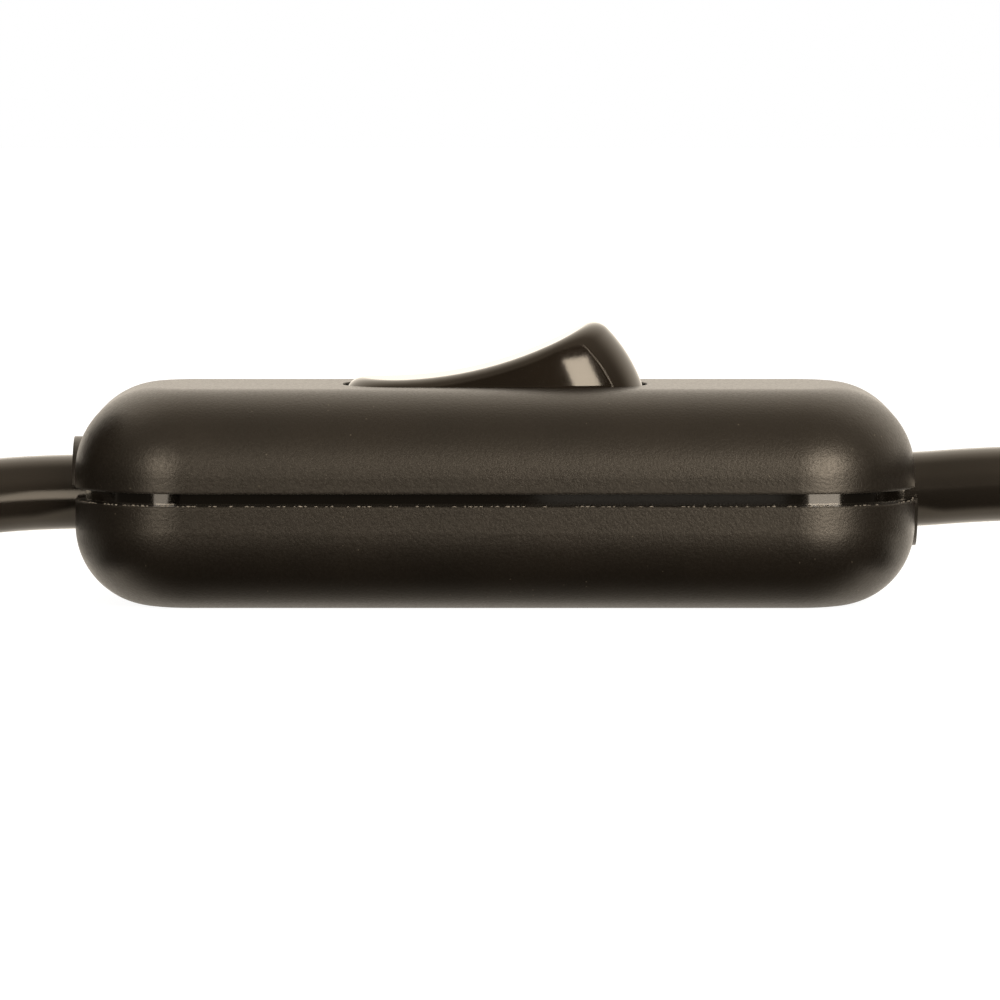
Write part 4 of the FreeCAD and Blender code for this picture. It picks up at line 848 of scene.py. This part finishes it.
# Each metal: colour, tarnish, roughness, streak size
METALS = {
    "screw_steel": ((0.62, 0.62, 0.6), (0.42, 0.40, 0.36), 0.25, 0.00012),
    "spring_steel": ((0.55, 0.55, 0.55), (0.35, 0.34, 0.33), 0.2, 0.00006),
    "brass": ((0.80, 0.60, 0.28), (0.45, 0.29, 0.12), 0.24, 0.00015),
    "lever_bronze": ((0.76, 0.50, 0.30), (0.42, 0.24, 0.13), 0.26, 0.00012),
    "contact_metal": ((0.90, 0.90, 0.86), (0.50, 0.47, 0.40), 0.2, 0.0002),
    "copper": ((0.82, 0.44, 0.27), (0.40, 0.17, 0.10), 0.25, 0.00008),
    "ferrule_tin": ((0.78, 0.78, 0.77), (0.52, 0.52, 0.50), 0.24, 0.0001),
    "pin_brass": ((0.82, 0.79, 0.72), (0.60, 0.53, 0.42), 0.14, 0.00014),
}
# Each jacket: colour and bloom
JACKETS = {
    "live_insulation": ((0.12, 0.042, 0.016), (0.22, 0.10, 0.05)),
    "neutral_insulation": ((0.018, 0.075, 0.33), (0.06, 0.16, 0.45)),
}

finishes = {"tie_band": loop_pile("tie_band", (0.008, 0.008, 0.009), (0.05, 0.05, 0.052))}
for name, values in PLASTICS.items():
    finishes[name] = moulded_plastic(name, *values, flat_side=name == "rocker_plastic")
for name, values in METALS.items():
    finishes[name] = metal_finish(name, *values)
for name, values in JACKETS.items():
    finishes[name] = jacket_finish(name, *values)
lower_plastic = moulded_plastic("shell_plastic_lip", *SHELL, lip_height=LIP_HEIGHT)

for row in frame["record"]["subparts"]:
    mesh = nodes[row["node"]].data
    mesh.materials.clear()
    mesh.materials.append(finishes[row["material_slot"]])
nodes["lower_shell"].data.materials[0] = lower_plastic
for piece in (supply_cord, load_cord):
    piece.data.materials.append(finishes["cord_sheath"])
print("finishes", len(finishes))

# %% [markdown]
# ## The plug
#
# The solid is a plain block with a cone for a tail. The real plug is moulded on the cord in one
# shot: a broad front, shoulders that draw in to a neck, a hollow for the thumb with raised ribs
# in it on both sides, and a ringed sleeve that lets the cord bend without a kink. Its skin is
# made from rows of points across it, each row a fuller or slimmer rounded box.

# %% Helpers for pieces
SHARP_FROM = math.radians(35.0)


def skin_rows(form, rows, endless=False):
    """Faces between rows of points, capped at both ends or joined into an endless band."""
    made = [[form.verts.new(place) for place in row] for row in rows]
    after = made[1:] + made[:1] if endless else made[1:]
    for low, high in zip(made, after):
        for k in range(len(low)):
            form.faces.new((low[k - 1], low[k], high[k], high[k - 1]))
    if not endless:
        form.faces.new(made[0][::-1])
        form.faces.new(made[-1])


def add_to_housing(piece):
    """Fix a piece to the housing."""
    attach(piece, "housing")
    print(piece.name, "faces", len(piece.data.polygons))
    return piece


def finish_piece(name, form, slot):
    """A mesh object from a bmesh, faces outward, that rides on the housing."""
    bmesh.ops.recalc_face_normals(form, faces=form.faces)
    mesh = bpy.data.meshes.new(name)
    form.to_mesh(mesh)
    form.free()
    mesh.materials.append(finishes[slot])
    mesh.polygons.foreach_set("use_smooth", [True] * len(mesh.polygons))
    mesh.set_sharp_from_angle(angle=SHARP_FROM)
    piece = bpy.data.objects.new(name, mesh)
    scene.collection.objects.link(piece)
    return add_to_housing(piece)


# %% [markdown]
# ### Its moulded body
#
# The plug lies on the hank and points away from the switch. Its rows are given by half a width,
# half a thickness and a squareness, which change from the neck to the broad front. Both ends
# are rounded off, and the thumb's hollow is pressed into the two broad faces.

# %% Plug: its moulded body
PLUG_YAW = math.radians(168.0)
PLUG_FRAME = Matrix.Translation(PLUG_PLACE) @ Matrix.Rotation(PLUG_YAW, 4, "Z")
NECK_START = 0.020
BROAD_START = 0.038
PLUG_FRONT = 0.053
NECK = (0.00635, 0.00425, 2.6)
BROAD = (0.01765, 0.00685, 3.5)
STRAIGHT_SHARE = 0.45
FRONT_ROUNDING = 0.0014
NECK_ROUNDING = 0.0009
ROWS_LONG = 76
ROW_POINTS = 128
SLEEVE = ((0.0, 0.00315), (0.0006, 0.00335), (0.010, 0.00345), (0.0205, 0.0037))
GRIP_PLACE = 0.0365
GRIP_REACH = (0.0078, 0.0098)
GRIP_DEPTH = 0.0005
GRIP_STEEP = 4.0
FACE_FROM = 0.6


def plug_size(x):
    """Half width, half thickness and squareness of the plug, at a place along it."""
    share = (x - NECK_START) / (BROAD_START - NECK_START)
    straight = min(1.0, max(0.0, share))
    share = STRAIGHT_SHARE * straight + (1.0 - STRAIGHT_SHARE) * ease(share)
    wide, thick, square = (low + (high - low) * share for low, high in zip(NECK, BROAD))
    shrink = 0.0
    for rounding, depth in (
        (FRONT_ROUNDING, x - (PLUG_FRONT - FRONT_ROUNDING)),
        (NECK_ROUNDING, NECK_START + NECK_ROUNDING - x),
    ):
        if depth > 0:
            shrink += rounding - math.sqrt(max(0.0, rounding**2 - depth**2))
    return wide - shrink, thick - shrink, square


def grip_share(x, y):
    """How deep in the thumb's hollow a place is, from 0 to 1."""
    off = ((x - GRIP_PLACE) / GRIP_REACH[0]) ** 2 + (y / GRIP_REACH[1]) ** 2
    return ease(GRIP_STEEP * (1.0 - off))


def round_turn(count):
    """Evenly spread angles, once round."""
    return [2 * math.pi * k / count for k in range(count)]


def plug_row(x):
    """A row of points round the plug."""
    wide, thick, square = plug_size(x)
    row = []
    for angle in round_turn(ROW_POINTS):
        across, up = math.cos(angle), math.sin(angle)
        y = wide * math.copysign(abs(across) ** (2 / square), across)
        z = thick * math.copysign(abs(up) ** (2 / square), up)
        if abs(z) > FACE_FROM * thick:
            z -= math.copysign(GRIP_DEPTH * grip_share(x, y), z)
        row.append(PLUG_FRAME @ Vector((x, y, z)))
    return row


def make_plug():
    """The plug's moulded body with its thin inner sleeve."""
    form = bmesh.new()
    body_start = NECK_START + NECK_ROUNDING
    body_length = PLUG_FRONT - FRONT_ROUNDING - body_start
    places = [NECK_START + NECK_ROUNDING * k / 6 for k in range(6)]
    places += [body_start + body_length * k / ROWS_LONG for k in range(ROWS_LONG)]
    places += [PLUG_FRONT - FRONT_ROUNDING * (1 - math.sin(math.pi / 2 * k / 8)) for k in range(9)]
    skin_rows(form, [plug_row(x) for x in places])
    sleeve = []
    for x, radius in SLEEVE:
        round_row = [Vector((x, radius * math.cos(a), radius * math.sin(a))) for a in round_turn(48)]
        sleeve.append([PLUG_FRAME @ place for place in round_row])
    skin_rows(form, sleeve)
    return finish_piece("plug_moulding", form, "plug_plastic")


plug_moulding = make_plug()
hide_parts("plug_body")

# %% [markdown]
# ### What repeats on it
#
# The rings of the bending sleeve and the ribs of the grip are each one small shape, set again
# and again on a row of points. A Geometry Nodes tree does that: the points carry a size and a
# turn, the tree makes the shape, sets it on each point, and turns the lot into one plain mesh.

# %% Trees that repeat a shape
def start_tree(name, sockets):
    """An empty Geometry Nodes tree with named inputs, its inlet and its outlet."""
    tree = bpy.data.node_groups.new(name, "GeometryNodeTree")
    tree.interface.new_socket("Path", in_out="INPUT", socket_type="NodeSocketGeometry")
    for label, kind in sockets:
        tree.interface.new_socket(label, in_out="INPUT", socket_type=kind)
    tree.interface.new_socket("Finish", in_out="INPUT", socket_type="NodeSocketMaterial")
    tree.interface.new_socket("Pieces", in_out="OUTPUT", socket_type="NodeSocketGeometry")
    return tree, tree.nodes.new("NodeGroupInput"), tree.nodes.new("NodeGroupOutput")


def end_tree(tree, inlet, outlet, instances):
    """Make the instances real, smooth and painted, and hand them out."""
    real = add_node(tree, "GeometryNodeRealizeInstances", Geometry=instances)
    smooth = add_node(tree, "GeometryNodeSetShadeSmooth", Geometry=real.outputs[0])
    paint = add_node(
        tree, "GeometryNodeSetMaterial", Geometry=smooth.outputs[0], Material=inlet.outputs["Finish"]
    )
    set_values(tree, outlet, Pieces=paint.outputs[0])
    return tree


def set_on_points(tree, inlet, shape):
    """Instances of a shape on the path's points, with the size and turn that each carries."""
    size, turn = (
        add_node(tree, "GeometryNodeInputNamedAttribute", data_type="FLOAT_VECTOR", Name=label)
        for label in ("piece_size", "piece_turn")
    )
    placed = add_node(
        tree,
        "GeometryNodeInstanceOnPoints",
        Points=inlet.outputs["Path"],
        Instance=shape,
        Scale=size.outputs["Attribute"],
        Rotation=turn.outputs["Attribute"],
    )
    return placed.outputs["Instances"]


def make_ring_tree():
    """Rings about the points, for the bending sleeve."""
    tree, inlet, outlet = start_tree("bending_rings", (("Ring Thick", "NodeSocketFloat"),))
    around = add_node(tree, "GeometryNodeCurvePrimitiveCircle", Resolution=56, Radius=1.0)
    thick = inlet.outputs["Ring Thick"]
    section = add_node(tree, "GeometryNodeCurvePrimitiveCircle", Resolution=12, Radius=thick)
    ring = add_node(
        tree, "GeometryNodeCurveToMesh", Curve=around.outputs[0], Profile_Curve=section.outputs[0]
    )
    return end_tree(tree, inlet, outlet, set_on_points(tree, inlet, ring.outputs[0]))


def make_rib_tree():
    """Long rounded ribs on the points, for the grip."""
    tree, inlet, outlet = start_tree("grip_ribs", (("Rib Sides", "NodeSocketInt"),))
    sides = inlet.outputs["Rib Sides"]
    rib = add_node(tree, "GeometryNodeMeshUVSphere", Rings=14, Radius=1.0, Segments=sides)
    return end_tree(tree, inlet, outlet, set_on_points(tree, inlet, rib.outputs[0]))


def grow_pieces(name, tree, values, slot, places, sizes=(), turns=(), edges=(), finish=None):
    """Run a tree on a row of points and keep the result as one plain mesh on the housing."""
    mesh = bpy.data.meshes.new(name + "_path")
    mesh.from_pydata(places, edges, [])
    for label, rows in (("piece_size", sizes), ("piece_turn", turns)):
        if rows:
            carried = mesh.attributes.new(label, "FLOAT_VECTOR", "POINT")
            carried.data.foreach_set("vector", [number for row in rows for number in row])
    piece = bpy.data.objects.new(name, mesh)
    scene.collection.objects.link(piece)
    grower = piece.modifiers.new("grow", "NODES")
    grower.node_group = tree
    values = {**values, "Finish": finish or finishes[slot]}
    for socket in tree.interface.items_tree:
        if socket.in_out == "INPUT" and socket.name in values:
            grower[socket.identifier] = values[socket.name]
    grown = piece.evaluated_get(bpy.context.evaluated_depsgraph_get())
    result = bpy.data.meshes.new_from_object(grown)
    piece.modifiers.clear()
    piece.data = result
    result.name = name
    bpy.data.meshes.remove(mesh)
    return add_to_housing(piece)


# %% [markdown]
# ### Rings and ribs
#
# The rings widen a little towards the plug, as the sleeve does. Each rib is nearly as long as
# the thumb's hollow is wide where it lies, and stays just below the face around the hollow.

# %% Plug: rings and ribs
RING_PLACES = [0.0012 + 0.00265 * k for k in range(7)]
RING_RADIUS = 0.0031
RING_TAPER = 0.0275
RIB_PLACES = [GRIP_PLACE + 0.0019 * k for k in range(-3, 4)]
RIB_HALF_WIDE = 0.0006
RIB_LONG_SHARE = 0.86
RIB_RISE_SHARE = 0.9
RING_THICK_SHARE = 0.2

ring_places = [PLUG_FRAME @ Vector((x, 0.0, 0.0)) for x in RING_PLACES]
ring_sizes = [[RING_RADIUS + RING_TAPER * x] * 3 for x in RING_PLACES]
ring_turns = [(0.0, math.radians(90.0), PLUG_YAW)] * len(RING_PLACES)
rings = {"Ring Thick": RING_THICK_SHARE}
bending_rings = grow_pieces(
    "bending_rings", make_ring_tree(), rings, "plug_plastic", ring_places, ring_sizes, ring_turns
)

rib_places, rib_sizes = [], []
for side in (-1.0, 1.0):
    for x in RIB_PLACES:
        off = abs(x - GRIP_PLACE) / GRIP_REACH[0]
        half = RIB_LONG_SHARE * GRIP_REACH[1] * math.sqrt(1.0 - off * off)
        floor = plug_size(x)[1] - GRIP_DEPTH
        rib_places.append(PLUG_FRAME @ Vector((x, 0.0, side * floor)))
        rib_sizes.append((RIB_HALF_WIDE, half, GRIP_DEPTH * RIB_RISE_SHARE))
rib_turns = [(0.0, 0.0, PLUG_YAW)] * len(rib_places)
ribs = {"Rib Sides": 16}
grip_ribs = grow_pieces(
    "grip_ribs", make_rib_tree(), ribs, "plug_plastic", rib_places, rib_sizes, rib_turns
)

# %% [markdown]
# ## The tie bands
#
# Each hank is held by a hook and loop band. It is cut from flat stock, so its thickness is even
# and its edges are square, a little softened. It goes once round the cords, tight over the
# outer ones and straight between them, and its end lies over its start on the far side.

# %% Tie bands
BAND_THICK = 0.0006
BAND_HALF_WIDE = 0.0045
BAND_CORNER = 0.0036
LAP_GAP = 0.00002
LAP_LIFT = 0.00022
LAP_TIP_FROM = 0.84
LAP_LIFT_FROM = 0.7
LAP_ROWS = 16
LOAD_TIE_PLACE = 0.090


def band_section(place, outward, half_wide, thick):
    """A row of points across the band: a flat strip with soft edges."""
    soft = 0.3 * thick
    inner = half_wide - soft
    outside = ((-half_wide, soft), (-half_wide, thick - soft), (-inner, thick), (0.0, thick))
    across = (*outside, (inner, thick), (half_wide, thick - soft), (half_wide, soft))
    across += ((inner, 0.0), (0.0, 0.0), (-inner, 0.0))
    return [place + Vector((x, 0.0, 0.0)) + outward * rise for x, rise in across]


def band_loop(x, low_y, high_y, top):
    """Places and outward directions once round a rounded box, given by its outer faces."""
    inner = BAND_CORNER - BAND_THICK
    corners = (
        (high_y - BAND_CORNER, BAND_CORNER, -90.0),
        (high_y - BAND_CORNER, top - BAND_CORNER, 0.0),
        (low_y + BAND_CORNER, top - BAND_CORNER, 90.0),
        (low_y + BAND_CORNER, BAND_CORNER, 180.0),
    )
    stops = []
    for y, z, start in corners:
        for k in range(11):
            angle = math.radians(start + 9.0 * k)
            outward = Vector((0.0, math.cos(angle), math.sin(angle)))
            stops.append((Vector((x, y, z)) + outward * inner, outward))
    return stops


def make_tie(name, x, low_y, high_y, top, flap_low, flap_high):
    """A band round a hank, with its end lapped over on the far side."""
    form = bmesh.new()
    stops = band_loop(x, low_y, high_y, top)
    rows = [band_section(place, outward, BAND_HALF_WIDE, BAND_THICK) for place, outward in stops]
    skin_rows(form, rows, endless=True)
    lap = []
    for k in range(LAP_ROWS + 1):
        share = k / LAP_ROWS
        tip = max(0.0, (share - LAP_TIP_FROM) / (1.0 - LAP_TIP_FROM))
        narrow = BAND_HALF_WIDE * math.sqrt(max(0.05, 1.0 - tip**2))
        lift = LAP_GAP + LAP_LIFT * ease((share - LAP_LIFT_FROM) / (1.0 - LAP_LIFT_FROM))
        thick = BAND_THICK * (0.35 + 0.65 * ease(share * 5.0))
        place = Vector((x, high_y + lift, flap_low + (flap_high - flap_low) * share))
        lap.append(band_section(place, Vector((0.0, 1.0, 0.0)), narrow, thick))
    skin_rows(form, lap)
    return finish_piece(name, form, "tie_band")


supply_tie = make_tie("supply_tie", TIE_PLACE, -0.0146, 0.0346, 0.028, 0.0045, 0.0225)
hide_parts("tie_supply")
load_tie = make_tie("load_tie", LOAD_TIE_PLACE, -0.0116, -0.0044, 0.0132, 0.0034, 0.0104)
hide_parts("tie_load")

# %% [markdown]
# ## Flash on the rim
#
# Where the two halves of the mould met, the lower rim kept a torn thread of flash. Its crumbs are
# painted pale, a painted glint for the light they catch: a broken row of tiny bright points just under
# the joint. A second tree walks round the rim, drops crumbs of chance size on it and leaves gaps; its
# seed is fixed, so that the row is the same every time.

# %% Rim flash
RIM_HEIGHT = 0.008485
RIM_HALF = (0.03355, 0.0140)
RIM_CORNER = 0.0095
RIM_INSET = 0.00012
CRUMB_SIZES = ((0.4, 1.0), (0.4, 1.0), (0.7, 2.0))
# Painted glint: the crumbs are pale, not the shell's black, to stand for the light they catch
FLASH_PAINTED_GLINT = (0.26, 0.23, 0.19)


def rim_path():
    """Points round the lower rim, a little inside its outline."""
    places = []
    for across, along, start in ((1, -1, -90.0), (1, 1, 0.0), (-1, 1, 90.0), (-1, -1, 180.0)):
        for k in range(13):
            angle = math.radians(start + 7.5 * k)
            reach = RIM_CORNER - RIM_INSET
            x = across * (RIM_HALF[0] - RIM_CORNER) + reach * math.cos(angle)
            y = along * (RIM_HALF[1] - RIM_CORNER) + reach * math.sin(angle)
            places.append((x, y, RIM_HEIGHT))
    return places


def add_chance(tree, low, high, seed, offset):
    """A number by chance between two, from the tree's seed."""
    node = tree.nodes.new("FunctionNodeRandomValue")
    node.inputs[2].default_value = low
    node.inputs[3].default_value = high
    set_values(tree, node, Seed=add_math(tree, "ADD", seed, float(offset)))
    return node.outputs[1]


def make_flash_tree():
    """Crumbs of chance size along a path, with gaps."""
    sockets = [(label, "NodeSocketFloat") for label in ("Step", "Crumb", "Gaps")]
    tree, inlet, outlet = start_tree("rim_flash", (*sockets, ("Seed", "NodeSocketInt")))
    given = inlet.outputs
    line = add_node(tree, "GeometryNodeMeshToCurve", Mesh=given["Path"])
    even = add_node(
        tree, "GeometryNodeCurveToPoints", mode="LENGTH", Curve=line.outputs[0], Length=given["Step"]
    )
    keep = add_node(tree, "FunctionNodeCompare", data_type="FLOAT")
    feed(tree, keep.inputs[0], add_chance(tree, 0.0, 1.0, given["Seed"], 1))
    feed(tree, keep.inputs[1], given["Gaps"])
    crumb = add_node(tree, "GeometryNodeMeshIcoSphere", Subdivisions=1, Radius=given["Crumb"])
    size = tree.nodes.new("ShaderNodeCombineXYZ")
    for axis, (low, high) in enumerate(CRUMB_SIZES):
        feed(tree, size.inputs[axis], add_chance(tree, low, high, given["Seed"], 2 + axis))
    placed = add_node(
        tree,
        "GeometryNodeInstanceOnPoints",
        Points=even.outputs["Points"],
        Selection=keep.outputs["Result"],
        Instance=crumb.outputs["Mesh"],
        Rotation=even.outputs["Rotation"],
        Scale=size.outputs["Vector"],
    )
    return end_tree(tree, inlet, outlet, placed.outputs["Instances"])


rim_places = rim_path()
rim_edges = [(k - 1, k) for k in range(1, len(rim_places))] + [(len(rim_places) - 1, 0)]
rim_values = {"Step": 0.00042, "Crumb": 0.00012, "Gaps": 0.50, "Seed": 7}
rim_flash = grow_pieces(
    "rim_flash",
    make_flash_tree(),
    rim_values,
    "shell_plastic",
    rim_places,
    edges=rim_edges,
    finish=moulded_plastic("flash_painted_glint", FLASH_PAINTED_GLINT, 0.5, 0.4, 0.0003, 0.0, 0.2),
)

# %% [markdown]
# ## What the cords are
#
# The supply cord's length isn't seen in the photograph: a lamp lead has about 1.4 m between its plug
# and its switch. The other side is short, and ends bare.

# %% [markdown]
# ## Last look
#
# The last cell prints how far the picture model reaches past the box of the solids, axis by axis.
# The picture model has to stay in the box of the solids.

# %% Sizes and finish
low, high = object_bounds()
for axis, name in enumerate("xyz"):
    grown = (cad_low[axis] - low[axis], high[axis] - cad_high[axis])
    print(name, "grows by mm", [round(1000 * length, 2) for length in grown])
